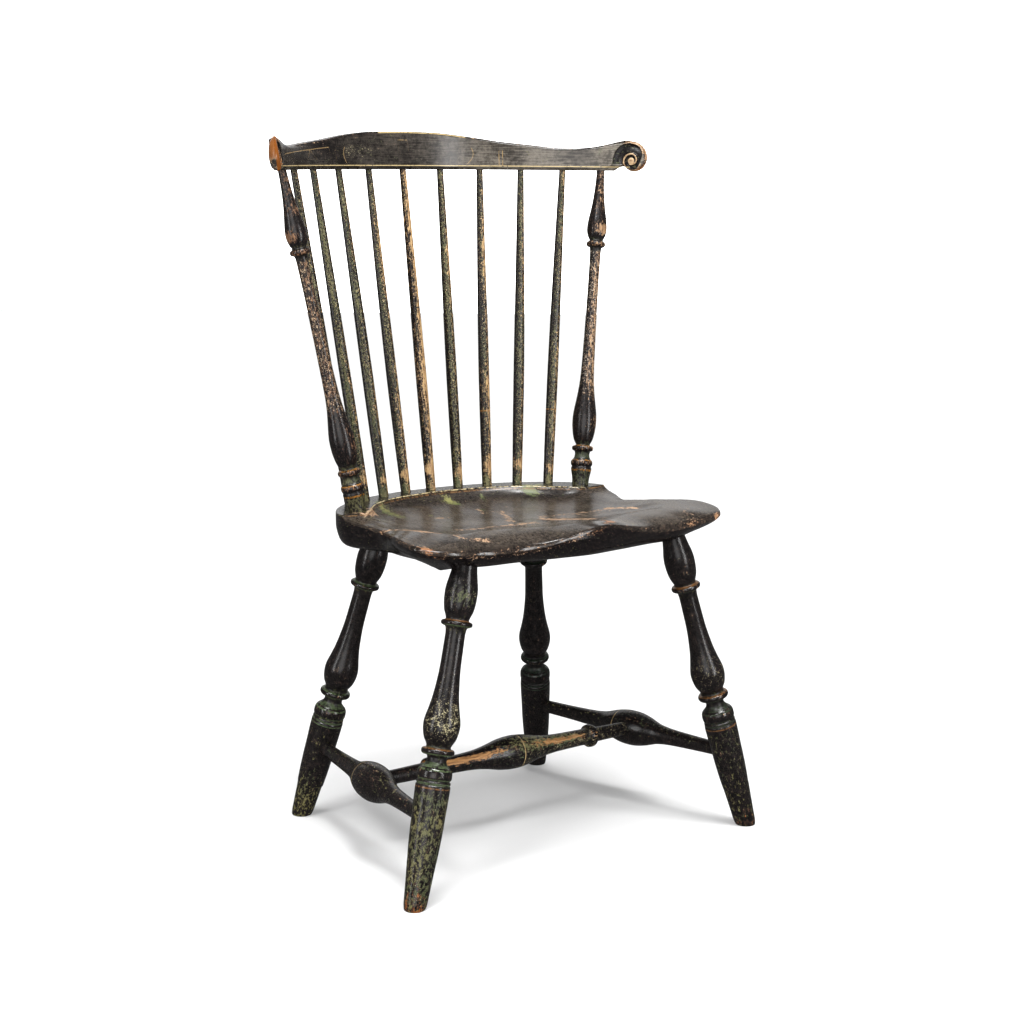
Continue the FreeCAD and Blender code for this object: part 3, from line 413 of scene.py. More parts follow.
def turned(node, start, end, table, material, slot, wear, green, facing=FRONT, rows=320, around=72,
           seed=1, whole=None, shift=0.0, out_of_round=0.004, bow=0.0, facets=0, on_floor=False,
           tint=lambda place, angle: 0.0, flecks=lambda place, angle: 0.15):
    """A piece turned on the line from start to end, in mm. The table gives (place, radius) along it,
    stretched to the line where its whole length is given. A point at angle t is the axis point plus
    the radius times (cos t * side + sin t * other), where side is the facing direction square to the
    axis. The rows lie closer where the profile is steep. The radius is a little out of round, with
    facets as a cosine, the axis bows by a half sine, and a foot is drawn so that its lowest ring
    lies in the floor. Relief is the radius over its own mean along the window."""
    axis = end - start
    length = np.linalg.norm(axis)
    axis = axis / length
    side = facing - axis * (facing @ axis)
    side = side / np.linalg.norm(side)
    other = np.cross(axis, side)
    places, radii = np.array(table, float).T
    scale = 1.0
    if whole is not None:
        places = (places / whole) * (length + shift) - shift
        scale = whole / (length + shift)
    table = np.stack([places, radii], -1)
    fine = np.linspace(places[0], places[-1], PROFILE_SAMPLES)
    profile = smooth_line(fine, table)
    steps = np.hypot(1.0, STEEP_WEIGHT * np.gradient(profile, fine))[1:]
    run = np.concatenate([[0.0], np.cumsum(steps)])
    angle = (np.arange(around) * TURN / around)[None, :]
    along = np.interp(np.linspace(0, run[-1], rows), run, fine)[:, None] + 0 * angle
    if on_floor:
        lean = (side[2] * np.cos(angle) + other[2] * np.sin(angle)) / axis[2]
        lowest = -radii[0] * lean
        share = np.clip((along - places[0]) / (FOOT_REACH - places[0]), 0.0, 1.0)
        along = np.where(along < FOOT_REACH, lowest + share * (FOOT_REACH - lowest), along)
    above = along - (along[:1] if on_floor else places[0])
    near_foot = on_floor & (along < places[0] + FOOT_REACH)
    radius = smooth_line(np.where(near_foot, places[0] + above, along), table)
    padded = np.interp(fine[:, None] + RELIEF_WINDOW[None, :], fine, profile).mean(axis=1)
    relief = np.clip((radius - np.interp(along, fine, padded)) / RELIEF_FULL, -1, 1)
    uneven = 1 + out_of_round * ripple(seed, angle, along * 0.03) * ease(0, 12, above)
    if facets:
        uneven = uneven + FACET_DEPTH * np.cos(facets * angle + 0.8 * np.sin(along * 0.011 + seed))
    sweep = bow * np.sin(math.pi * np.clip(along / length, 0, 1))
    turn = seed * 2.4
    centre = (start + axis * along[..., None]
              + (side * math.cos(turn) + other * math.sin(turn)) * sweep[..., None])
    spoke = side * np.cos(angle)[..., None] + other * np.sin(angle)[..., None]
    points = centre + spoke * (radius * uneven)[..., None]
    if on_floor:
        points[0, :, 2] = 0.0
        points[..., 2] = np.maximum(points[..., 2], 0.0)
    spot = np.stack([radius * np.cos(angle), radius * np.sin(angle), along], -1) * MM
    spot = spot + np.array((seed * 0.37, seed * 0.23, 0.0))
    place = (along + shift) * scale
    fields = {"spot": spot, "along": place * MM, "relief": relief, "dust": OPEN_DUST + 0 * place}
    for label, looks in (("wear", wear), ("green", green), ("tint", tint), ("flecks", flecks)):
        fields[label] = looks(place, angle) + 0 * place
    return closed_tube(f"{node}_turning", points * MM, fields, node, material)


LEG_TABLE = (
    (0, 12.3), (0.8, 13.3), (2.4, 13.8), (8, 14.8), (20, 15.6), (40, 16.9), (60, 18.4), (80, 19.8),
    (100, 20.7), (120, 21.2), (140, 21.9), (152, 22.1), (154.6, 22.0), (155.4, 21.0), (156.4, 20.9),
    (157.2, 21.6), (159.4, 21.7), (160.4, 20.3), (161.4, 20.2), (162.6, 21.4), (165, 22.2),
    (170, 22.2), (173, 21.6), (175.6, 20.2), (178, 17.6), (181, 14.6), (184.5, 12.6), (189, 12.4),
    (191.4, 13.6), (192.6, 18.4), (194.0, 20.3), (196.2, 21.1), (198.6, 20.7), (200.4, 19.2),
    (201.4, 16.0), (203.2, 15.2), (205, 16.0), (208, 17.5), (212, 19.8), (216, 21.2), (221, 22.4),
    (226, 23.1), (231, 23.3), (236, 22.8), (242, 21.6), (248, 20.1), (256, 18.4), (264, 16.9),
    (272, 15.8), (280, 14.9), (288, 14.1), (296, 13.5), (304, 13.1), (320, 12.8), (344, 12.5),
    (350, 13.1), (353, 14.2), (354.2, 17.6), (355.4, 19.4), (357.4, 20.1), (359.4, 19.6),
    (360.8, 18.0), (361.8, 14.9), (363, 14.6), (365, 15.2), (368, 16.3), (372, 17.9), (376, 19.0),
    (381, 19.8), (388, 20.5), (396, 20.7), (404, 20.1), (412, 18.6), (422.8, 16.6), (438, 14.4))
LEG_WHOLE = 422.8

STILE_TABLE = (
    (-20, 11.2), (0, 11.7), (6, 11.9), (12, 12.5), (18, 13.7), (24, 14.7), (26, 14.6), (27, 13.7),
    (28, 13.8), (29.4, 14.9), (31, 15.5), (33.5, 15.6), (35.6, 15.1), (37, 14.0), (39, 12.2),
    (42, 10.9), (45.5, 10.4), (48.6, 11.0), (50, 11.8), (51, 14.2), (52.4, 15.1), (54.2, 15.3),
    (56, 14.9), (57.4, 13.4), (58.2, 10.5), (59.6, 10.0), (61.5, 10.9), (65, 12.8), (70, 14.4),
    (75, 15.5), (80, 16.3), (87, 16.9), (94, 17.1), (101, 16.9), (110, 15.9), (120, 14.3),
    (132, 12.4), (146, 10.7), (160, 9.7), (180, 9.0), (200, 8.6), (230, 8.1), (265, 7.8),
    (300, 7.6), (335, 7.8), (344, 8.2), (346.6, 9.0), (347.8, 11.8), (349.2, 13.2), (351.4, 13.8),
    (353.6, 13.2), (355, 11.6), (356, 10.0), (357.6, 9.9), (360, 11.2), (365, 13.1), (370, 14.1),
    (375, 14.4), (382, 13.9), (392, 12.3), (404, 10.2), (420, 8.0), (436, 6.6), (455, 5.7),
    (475, 5.5))
STILE_WHOLE = 459.0

SPINDLE_TABLE = (
    (-12, 6.6), (0, 6.9), (30, 7.15), (80, 7.55), (150, 7.7), (220, 7.3), (290, 6.6), (360, 5.7),
    (420, 4.95), (452, 4.6), (470, 4.5))

SIDE_TABLE = (
    (-3, 8.9), (10, 9.2), (30, 9.4), (61, 9.9), (101, 11.0), (121, 12.0), (131, 13.0), (141, 14.5),
    (151, 17.4), (161, 20.6), (171, 23.0), (181, 24.6), (191, 25.0), (201, 24.6), (211, 23.0),
    (221, 20.6), (231, 17.4), (241, 14.5), (251, 13.0), (261, 12.0), (281, 11.0), (321, 9.8),
    (350, 9.3), (367.6, 9.0))

HALF_MEDIAL = (
    (0, 23.1), (8, 22.8), (16, 22.0), (25, 20.6), (32, 19.0), (40, 17.2), (50, 15.3), (60, 13.8),
    (70, 12.9), (80, 12.3), (105, 11.7), (128, 11.4), (130.6, 11.6), (132, 14.2), (134, 15.8),
    (137.5, 16.2), (141, 15.8), (143, 14.2), (144.4, 11.2), (146, 10.5), (165, 10.1), (190, 9.7),
    (219, 9.2))
MEDIAL_MIDDLE = 222.9
MEDIAL_TABLE = tuple((MEDIAL_MIDDLE - d, r) for d, r in reversed(HALF_MEDIAL[1:])) + tuple(
    (MEDIAL_MIDDLE + d, r) for d, r in HALF_MEDIAL)


def seat_under(rearward):
    return seat_top(rearward) - SEAT_THICKNESS / math.cos(SEAT_TILT)


FRONT_FOOT = np.array((278.8, -225.8, 0.0))
FRONT_TOP = np.array((174.0, -180.8, seat_under(-180.8)))
BACK_FOOT = np.array((208.6, 166.9, 0.0))
BACK_TOP = np.array((133.6, 83.8, seat_under(83.8)))
STILE_BASE = np.array((189.0, 45.0, seat_top(45.0)))
STILE_TOP = on_arc(CREST_LINE, CREST_BEND, 48.3, CREST_UNDER)


def at_height(foot, top, height):
    return foot + (top - foot) * (height / top[2])


SIDE_FRONT = at_height(FRONT_FOOT, FRONT_TOP, 107.4)
SIDE_BACK = at_height(BACK_FOOT, BACK_TOP, 102.6)
CROSSING_SHARE = 0.54
CROSSING_RISE = 3.5
CROSSING = SIDE_BACK + (SIDE_FRONT - SIDE_BACK) * CROSSING_SHARE + UP * CROSSING_RISE


def leg_paint(name, rings, edges):
    """Paint for a leg: thin rings of one colour in its grooves, and another on its sharp edges."""
    return painted(
        name, Across=700.0, Along=90.0, Grain_Share=0.35, Edge_Rub=0.1, Mottle=270.0,
        Green_Deep=colour(0.042, 0.05, 0.024), Green_Olive=colour(0.135, 0.118, 0.048),
        lines=((151.8, 0.9, 0.45, rings), (157.0, 1.5, 0.46, edges), (162.6, 0.8, 0.46, edges),
               (174.6, 1.2, 0.47, edges), (180.5, 3.2, 0.49, edges), (193.4, 0.9, 0.44, edges),
               (200.4, 0.9, 0.47, rings), (354.8, 0.8, 0.45, edges), (361.4, 1.0, 0.44, rings)))


LEG_PAINTS = (leg_paint("leg_front_left_black", RUST_LINE, SAGE),
              leg_paint("leg_front_right_black", RUST_LINE, colour(0.03, 0.036, 0.024)),
              leg_paint("leg_back_left_black", SAGE, SAGE),
              leg_paint("leg_back_right_black", colour(0.03, 0.04, 0.028), colour(0.022, 0.03, 0.022)))
STILE_LOOK = dict(
    Across=520.0, Along=110.0, Grain_Share=0.5, Edge_Rub=0.3, Mottle=380.0, Chip_Scale=270.0,
    Green_Deep=colour(0.03, 0.042, 0.026), Green_Olive=colour(0.085, 0.08, 0.04),
    lines=((22.0, 1.3, 0.49, colour(0.27, 0.125, 0.024)), (36.6, 0.8, 0.49, OCHRE),
           (57.6, 0.8, 0.49, OCHRE)))
STILE_PAINTS = (
    painted("stile_left_worn_brown", Wood_Dark=colour(0.05, 0.023, 0.012),
            Wood_Light=colour(0.22, 0.115, 0.06), Fleck_Colour=colour(0.5, 0.38, 0.25), **STILE_LOOK),
    painted("stile_right_worn_tan", Wood_Dark=colour(0.08, 0.04, 0.018),
            Wood_Light=colour(0.36, 0.225, 0.125), Fleck_Colour=colour(0.52, 0.44, 0.34), **STILE_LOOK))
SPINDLE_LOOK = dict(
    Across=600.0, Along=90.0, Grain_Share=0.5, Edge_Rub=0.08, Mottle=520.0, Chip_Scale=330.0,
    Green_Deep=colour(0.052, 0.06, 0.028), Green_Olive=colour(0.145, 0.132, 0.062),
    Wood_Dark=colour(0.13, 0.062, 0.028), Wood_Light=colour(0.5, 0.33, 0.165),
    Fleck_Colour=colour(0.55, 0.42, 0.22))
SPINDLE_PAINTS = (
    painted("spindle_worn_black", **SPINDLE_LOOK),
    painted("spindle_lined_black", lines=((107.0, 1.0, 0.5, OCHRE),), **SPINDLE_LOOK))
LINED_SPINDLES = (6, 8)
side_paint = painted(
    "side_stretcher_black", Across=500.0, Along=60.0, Grain_Share=0.6, Edge_Rub=0.08,
    lines=((170.0, 0.8, 0.42, PALE_LINE),))
medial_paint = painted(
    "medial_stretcher_black", Across=560.0, Along=34.0, Grain_Share=0.5, Edge_Rub=0.08,
    Wood_Dark=colour(0.16, 0.075, 0.026), Wood_Light=colour(0.44, 0.235, 0.095),
    lines=((MEDIAL_MIDDLE + 8, 0.9, 0.44, PALE_LINE),
           (MEDIAL_MIDDLE + 144.5, 1.2, 0.44, OCHRE), (MEDIAL_MIDDLE - 144.5, 1.2, 0.48, OCHRE)))


# Each leg's own amounts, in the order front left, front right, back left, back right.
FOOT_GREEN = (0.42, 0.22, 0.1, 0.06)
TIP_WEAR = (0.3, 0.26, 0.05, 0.05)
COLLAR_GREEN = (0.6, 0.25, 0.8, 0.2)
LEG_FLECKS = (1.0, 0.6, 0.22, 0.15)


def leg_looks(number):
    """Wear, green, tint and flecks for one leg: the mottled green foot is thickest in front."""
    foot, collars = FOOT_GREEN[number], COLLAR_GREEN[number]

    def wear(place, angle):
        return 0.03 + TIP_WEAR[number] * hump(place, 0, 26) + 0.05 * foot * ease(158, 130, place)

    def green(place, angle):
        lit = 0.8 + 0.2 * np.cos(angle + 0.6)
        rings = 0.3 * hump(place, 166, 12) + 0.32 * hump(place, 197, 6) + 0.3 * hump(place, 357.5, 5)
        patch = 0.52 * hump(place, 392, 13) * toward(angle, -30, 4) if number == 0 else 0.0
        low = 0.12 * hump(place, 40, 50) * (number == 2) * (1 + np.cos(angle + 1.2))
        return foot * ease(160, 140, place) * lit + collars * rings + 0.02 + patch + low

    def tint(place, angle):
        return ease(70, 8, place)

    def flecks(place, angle):
        vase = hump(place, 232, 26) + 0.5 * hump(place, 265, 40) + 0.6 * hump(place, 392, 16)
        lit = 0.6 + 0.4 * np.cos(angle + 0.3)
        return LEG_FLECKS[number] * (0.12 + 0.85 * vase * lit + 0.4 * ease(158, 130, place))
    return dict(wear=wear, green=green, tint=tint, flecks=flecks)


for number, (name, foot, top, shift) in enumerate((
        ("leg_front_left", flipped(FRONT_FOOT), flipped(FRONT_TOP), 0.0),
        ("leg_front_right", FRONT_FOOT, FRONT_TOP, 0.0),
        ("leg_back_left", flipped(BACK_FOOT), flipped(BACK_TOP), 10.0),
        ("leg_back_right", BACK_FOOT, BACK_TOP, 10.0))):
    turned(name, foot, top, LEG_TABLE, LEG_PAINTS[number], "leg_paint", rows=330,
           around=96, seed=11 + number, whole=LEG_WHOLE, shift=shift, on_floor=True, **leg_looks(number))

for number, (name, back, front) in enumerate((
        ("side_stretcher_left", flipped(SIDE_BACK), flipped(SIDE_FRONT)),
        ("side_stretcher_right", SIDE_BACK, SIDE_FRONT))):
    turned(name, back, front, SIDE_TABLE, side_paint, "stretcher_paint",
           lambda place, angle: 0.06 + 0.06 * np.cos(angle),
           lambda place, angle: 0.1 + 0.1 * np.cos(angle), facing=UP, rows=180, around=80,
           seed=21 + number, out_of_round=0.006)


def medial_wear(place, angle):
    """A bare streak along the upper front of the bulb's two sides."""
    streak = 1.00 * hump(place, 138, 56) + 0.8 * hump(place, 300, 52)
    return 0.04 + streak * hump(angle, 0.98, 0.4)


def medial_green(place, angle):
    right_half = ease(150, 250, place) * ease(360, 320, place)
    return 0.08 + 0.5 * hump(angle, 0.75, 0.9) * right_half


turned("medial_stretcher", flipped(CROSSING), CROSSING, MEDIAL_TABLE, medial_paint, "stretcher_paint",
       medial_wear, medial_green, facing=UP, rows=260, around=96, seed=31,
       flecks=lambda place, angle: 0.15 + 0.6 * ease(170, 260, place))


def stile_looks(number):
    """Wear, green and flecks for one stile, 0 left and 1 right: its far side stays black."""
    rubbed, black_side, patch_side = ((0.29, -165, -80), (0.43, -110, 0))[number]

    def shaft(place):
        return ease(112, 150, place) * ease(350, 338, place)

    def wear(place, angle):
        open_side = 1 - toward(angle, black_side, 4)
        patch = hump(place, 373, 9) * toward(angle, patch_side, 5)
        vase = 0.3 * hump(place, 92, 24) * toward(angle, 50, 3)
        return (0.05 + rubbed * shaft(place) * open_side + 0.6 * patch + vase
                + 0.3 * ease(392, 404, place) * toward(angle, 10))

    def green(place, angle):
        base = 0.42 * ease(27, 20, place) * (0.7 + 0.3 * toward(angle, -10))
        return (base + 0.4 * hump(place, 43, 6) + 0.24 * hump(place, 61, 4)
                + 0.14 * hump(place, 357, 5) + 0.06)

    def flecks(place, angle):
        return 0.15 + 0.75 * shaft(place)
    return dict(wear=wear, green=green, flecks=flecks)


for number, name in enumerate(("stile_left", "stile_right")):
    base, top = (STILE_BASE, STILE_TOP) if number else (flipped(STILE_BASE), flipped(STILE_TOP))
    turned(name, base, top, STILE_TABLE, STILE_PAINTS[number], "stile_paint",
           rows=330, around=72, seed=41 + number, whole=STILE_WHOLE, **stile_looks(number))


# Each spindle's own amounts, from the viewer's left.
SPINDLE_WEAR = (-0.1, -0.08, -0.06, 0.06, 0.26, 0.02, 0.12, 0.00, 0.02)
SPINDLE_GREEN = (0.42, 0.5, 0.46, 0.4, 0.2, 0.46, 0.34, 0.42, 0.4)


def spindle_looks(number):
    """Wear, green and flecks for one spindle: black on the left, olive in the middle, tan at the right,
    with a bare patch just over the seat."""
    patch_place, patch_reach = 26 + 5 * math.sin(number * 2.1), 10 + 2 * math.cos(number)

    def wear(place, angle):
        slow = ripple(60 + number, place * 0.022)
        low = 0.46 * hump(place, patch_place, patch_reach) * toward(angle, -20, 1.5)
        return SPINDLE_WEAR[number] + 0.34 * toward(angle, 30, 4) + low + 0.12 * slow

    def green(place, angle):
        slow = ripple(80 + number, place * 0.03, angle)
        middle = toward(angle, -30, 4)
        return SPINDLE_GREEN[number] * middle + 0.1 * slow + 0.35 * ease(16, 8, place) * middle

    def flecks(place, angle):
        return 0.2 + 0.6 * toward(angle, -10, 3)
    return dict(wear=wear, green=green, flecks=flecks)


SPINDLE_BASE_LINE, SPINDLE_BASE_BEND = 150.0, 291.0
SPINDLE_BASE_PITCH, SPINDLE_TOP_PITCH = 8.9, 9.82
for number in range(9):
    step = number - 4
    base = on_arc(SPINDLE_BASE_LINE, SPINDLE_BASE_BEND, SPINDLE_BASE_PITCH * step, 0.0)
    base[2] = seat_top(base[1])
    top = on_arc(CREST_LINE, CREST_BEND, SPINDLE_TOP_PITCH * step, CREST_UNDER)
    turned(f"spindle_{number + 1}", base, top, SPINDLE_TABLE, SPINDLE_PAINTS[number in LINED_SPINDLES],
           "spindle_paint", rows=190, around=40, seed=51 + number, bow=0.8, facets=9,
           **spindle_looks(number))


# The plank seat

# Each station on the right-hand edge, from the middle of the back to the middle of the front: shares
# of half width and depth to the edge, undercut, depth of the edge, place and depth of the hollow's
# ridge, and the radius in mm of the rounded arris.
STATIONS = np.array((
    (0.000, 1.000, 0.5, 0.4, 0.78, 0.5, 1.8), (0.276, 0.957, 0.5, 0.4, 0.79, 0.5, 1.8),
    (0.504, 0.846, 0.5, 0.4, 0.78, 0.5, 1.8), (0.688, 0.667, 0.52, 0.4, 0.79, 0.5, 1.8),
    (0.816, 0.463, 0.56, 0.36, 0.8, 0.5, 1.8), (0.884, 0.235, 0.62, 0.32, 0.82, 0.45, 2.0),
    (0.864, 0.012, 0.7, 0.36, 0.88, 0.44, 2.4), (0.828, -0.161, 0.8, 0.6, 0.92, 0.46, 2.6),
    (0.888, -0.347, 0.9, 0.46, 0.9, 0.32, 2.6), (0.964, -0.5, 0.95, 0.24, 0.85, 0.2, 2.6),
    (1.000, -0.636, 1.00, 0.22, 0.78, 0.18, 3.4), (1.000, -0.785, 1.00, 0.44, 0.76, 0.2, 4.6),
    (0.904, -0.886, 1.00, 0.72, 0.76, 0.22, 5.8), (0.697, -0.91, 1.00, 0.92, 0.75, 0.22, 6.2),
    (0.44, -0.935, 1.00, 0.9, 0.78, 0.22, 5.8), (0.2, -0.975, 1.00, 0.46, 0.82, 0.2, 4.2),
    (0.000, -1.000, 1.00, 0.08, 0.84, 0.12, 3.0)))
# The ledge's front arris: (degrees from the back, distance from the middle) up to past its end.
LEDGE_END_ANGLE = 83.2
LEDGE_CURVE = ((0, 123), (13.9, 124.7), (31.6, 133.8), (48, 147.5), (61.8, 159), (75.4, 172),
               (LEDGE_END_ANGLE, 186), (100, 187))
LEDGE_FOOT, LEDGE_END_FOOT = 6.5, 9.0
SEAT_MIDDLE = np.array((0.0, LEDGE_END))


def catmull(values, place):
    """A smooth value at a fractional place along a list, the same at both ends as if mirrored."""
    last = len(values) - 1
    index = np.clip(place.astype(int), 0, last - 1)
    share = place - index
    one, two = values[index], values[index + 1]
    before = np.where(index > 0, values[np.maximum(index - 1, 0)], two)
    after = np.where(index + 2 <= last, values[np.minimum(index + 2, last)], one)
    return 0.5 * (2 * one + (two - before) * share
                  + (2 * before - 5 * one + 4 * two - after) * share ** 2
                  + (3 * one - before - 3 * two + after) * share ** 3)


STATION_X = STATIONS[:, 0] * SEAT_HALF_WIDTH
STATION_Y = STATIONS[:, 1] * np.where(STATIONS[:, 1] > 0, SEAT_BACK, SEAT_FRONT)
STATION_REACH = np.hypot(STATION_X, STATION_Y - LEDGE_END)
STATION_ANGLE = np.arctan2(STATION_X, STATION_Y - LEDGE_END)


def station_at(angle):
    return np.interp(np.abs(angle), STATION_ANGLE, np.arange(len(STATIONS)))


POMMEL_SHARE = 0.45
BOWL_POWER = 2.6
EDGE_POWER, LOBE_POWER = 1.6, 0.9
HAND_DEPTH = 0.25


def hollow_depth(across, along):
    """How far the carved top lies under the plank's flat top: from the middle it rises to a ridge as
    a power of the distance, and from the ridge it falls to the edge as another power."""
    front = np.maximum(0.0, -along / SEAT_FRONT)
    near = hump(across, 0, POMMEL_SHARE * SEAT_HALF_WIDTH)
    side = np.abs(across - POMMEL_SHIFT * near * front)
    place = station_at(np.arctan2(side, along - LEDGE_END))
    distance = np.hypot(side, along - LEDGE_END)
    reach = catmull(STATION_REACH, place)
    edge = SEAT_EDGE * catmull(STATIONS[:, 3], place)
    ridge_reach = reach * catmull(STATIONS[:, 4], place)
    ridge = SEAT_HOLLOW * catmull(STATIONS[:, 5], place)
    inside = SEAT_HOLLOW + (ridge - SEAT_HOLLOW) * np.minimum(distance / ridge_reach, 1.2) ** BOWL_POWER
    beyond = np.clip((distance - ridge_reach) / (reach - ridge_reach), 0, 1.3)
    steep = EDGE_POWER + LOBE_POWER * ease(11.0, 12.5, place) * ease(15.6, 14.0, place)
    outside = ridge + (edge - ridge) * beyond ** steep
    return inside + (outside - inside) * ease(0.84, 1.1, distance / ridge_reach)


def carved_top(points):
    """Heights over the plank's flat top, and the distance in front of the ledge's arris. From the
    arris the top falls to the hollow by one minus e to the minus distance."""
    across, along = points[..., 0], points[..., 1]
    offset = np.hypot(across, along - LEDGE_END)
    bearing = np.abs(np.arctan2(across, along - LEDGE_END))
    wall = smooth_line(np.degrees(bearing), LEDGE_CURVE) - offset
    past = offset * np.maximum(bearing - math.radians(LEDGE_END_ANGLE), 0.0)
    into = np.where(past > 0, np.hypot(np.maximum(wall, 0), past), wall)
    fall = np.maximum(1 - np.exp(-np.maximum(wall, 0) / LEDGE_FOOT), 1 - np.exp(-past / LEDGE_END_FOOT))
    hand = HAND_DEPTH * ripple(5, across * 0.05, along * 0.04)
    return -hollow_depth(across, along) * fall + hand * fall, into


def near_path(path, across, along, width):
    """A bell of height one about a path of straight legs, by the nearest distance to it."""
    nearest = np.full(across.shape, 1e9)
    for (ax, ay), (bx, by) in zip(path, path[1:]):
        dx, dy = bx - ax, by - ay
        share = np.clip(((across - ax) * dx + (along - ay) * dy) / (dx * dx + dy * dy), 0, 1)
        nearest = np.minimum(nearest, np.hypot(across - ax - share * dx, along - ay - share * dy))
    return np.exp(-(nearest / width) ** 2)


TANGENT_ROUNDS = 260
EDGE_ROUNDS = 4
UNDERSIDE_DROP, UNDERSIDE_RUN = 60, 200
# The plank's side: (height from the flat top, share of the undercut) where it stands upright, and
# where it slopes under the front lobes.
UPRIGHT_SIDE = ((-50, 1.3), (-48, 1.0), (-45.6, 0.66), (-43, 0.42), (-39, 0.26), (-33, 0.14),
                (-26, 0.06), (-18, 0.0), (6, 0.0))
SLOPING_SIDE = ((-50, 1.3), (-45, 1.08), (-40, 0.84), (-35, 0.6), (-30, 0.39), (-25, 0.21),
                (-20, 0.09), (-15, 0.02), (-12, 0.0), (6, 0.0))
# Where the top is rubbed through to the wood: (path, width, amount).
TOP_RUBS = (
    (((53, -50), (67, -75), (75, -105), (70, -134)), 9, 0.58), (((62, -30), (130, -60)), 7, 0.34),
    (((150, -64), (166, -112)), 6, 0.5), (((-100, -62), (-30, -59), (16, -64)), 8, 0.46),
    (((42, 38), (23, -5), (4, -35)), 8, 0.42), (((-40, -98), (60, -70), (150, -80)), 24, 0.2),
    (((-201, 36), (-188, 26), (-154, 55)), 6, 0.48), (((-184, 76), (-176, 60), (-160, 56)), 5, 0.4),
    (((-206, -43), (-205, -82), (-198, -117), (-182, -139)), 5, 0.44),
    (((74, -151), (97, -157), (147, -156)), 6, 0.42), (((-62, 44), (-49, 41)), 5, 0.48),
    (((24, 69), (18, 46)), 5, 0.46), (((-176, -162), (-177, -184)), 5, 0.56),
    (((-166, -188), (-150, -197)), 5, 0.6), (((-192, -73), (-198, -126), (-163, -135)), 6, 0.48),
    (((188, -182), (176, -214)), 8, 0.28), (((34, -196), (36, -212)), 5, 0.55),
    (((18, -222), (30, -214), (44, -206)), 6, 0.45), (((-247, -176), (-240, -190)), 4, 0.42),
    (((-240, -190), (-236, -196)), 3.5, 0.6))
# Green flakes on the top: (across, along, radius, amount), and pale flecks: (path, width, amount).
TOP_FLAKES = (
    (6, 113, 8, 0.7), (14, 102, 6, 0.55), (-120, 84, 13, 0.55), (-108, 66, 10, 0.45),
    (132, 84, 9, 0.7), (125, 90, 6, 0.6), (148, 88, 4, 0.7), (26, 60, 5, 0.6), (60, 108, 5, 0.5),
    (-60, 60, 6, 0.4))
TOP_FLECKS = ((((-72, -160), (-40, -150)), 16, 0.9), (((-190, 20), (-150, 30)), 9, 0.9),
              (((-100, -80), (40, -130)), 30, 0.5))
FRONT_ROLL = ((-238, -198), (-100, -216), (0, -238))
RIGHT_LOBE_TIP = ((226, -204), (232, -200))
LEFT_LOBE_TIP = ((-250, -190), (-236, -202))
POMMEL_TIP = ((0, -226), (42, -204))
OFF_TOP = -30.0


def spread(*legs):
    """Places in even steps along each leg (from, to, count), without repeating the joints."""
    parts = [np.linspace(start, end, count, endpoint=False) for start, end, count in legs]
    return np.concatenate(parts + [[legs[-1][1]]])


def seat_looks(across, along, height, drops, behind_ends):
    """The seat's fields. Drops is the distance outwards past the plank's arris, and is under nought
    on top. The painted lines run along the ledge's arris."""
    on_top = drops <= 0
    into = np.where(on_top, carved_top(np.stack([across, along], -1))[1], OFF_TOP)
    arris = hump(drops, -1.0, 4.0)
    ledge_arris = hump(into, 0.0, 1.6) * on_top
    foot = hump(into, 11.0, 9.0) * on_top * behind_ends
    forward = ease(40, -60, along)

    def along_path(path, width):
        return near_path(path, across, along, width)

    wear = (0.03 + 0.1 * arris * forward + 0.16 * ledge_arris
            + 0.26 * along_path(FRONT_ROLL, 7) * hump(drops, 3, 3) + 0.34 * along_path(RIGHT_LOBE_TIP, 6))
    for path, width, amount in TOP_RUBS:
        wear = wear + amount * along_path(path, width) * on_top
    green = 0.02 + 0.2 * (into < 0) * on_top + 0.04 * hump(drops, 20, 16)
    for x, y, radius, amount in TOP_FLAKES:
        green = green + amount * np.exp(-((across - x) ** 2 + 0.5 * (along - y) ** 2) / radius ** 2) * on_top
    flecks = 0.1 + 0.25 * arris + 0.55 * ledge_arris
    for path, width, amount in TOP_FLECKS:
        flecks = flecks + amount * along_path(path, width) * on_top
    # Dust on the carved top, which also stands for painted sheen: full over the open top, less at the foot
    # of the ledge's wall and on the arris.
    dust = np.clip((0.85 - 0.45 * foot) * ease(-1, 6, into) * on_top + 0.22 * (into < 0) * on_top, 0, 1)
    dust = dust * (0.8 + 0.2 * ripple(9, across * 0.03, along * 0.03)) * (1 - 0.5 * arris)
    tint = np.clip(along_path(LEFT_LOBE_TIP, 9) + along_path(POMMEL_TIP, 16) + 0.5 * arris * forward, 0, 1)
    relief = np.clip(0.9 * arris + 0.8 * ledge_arris - 0.5 * foot, -1, 1)
    return {"spot": np.stack([across, height * 1.6, along], -1) * MM, "along": into * MM,
            "flecks": flecks, "relief": relief, "wear": wear, "green": green, "dust": dust, "tint": tint}


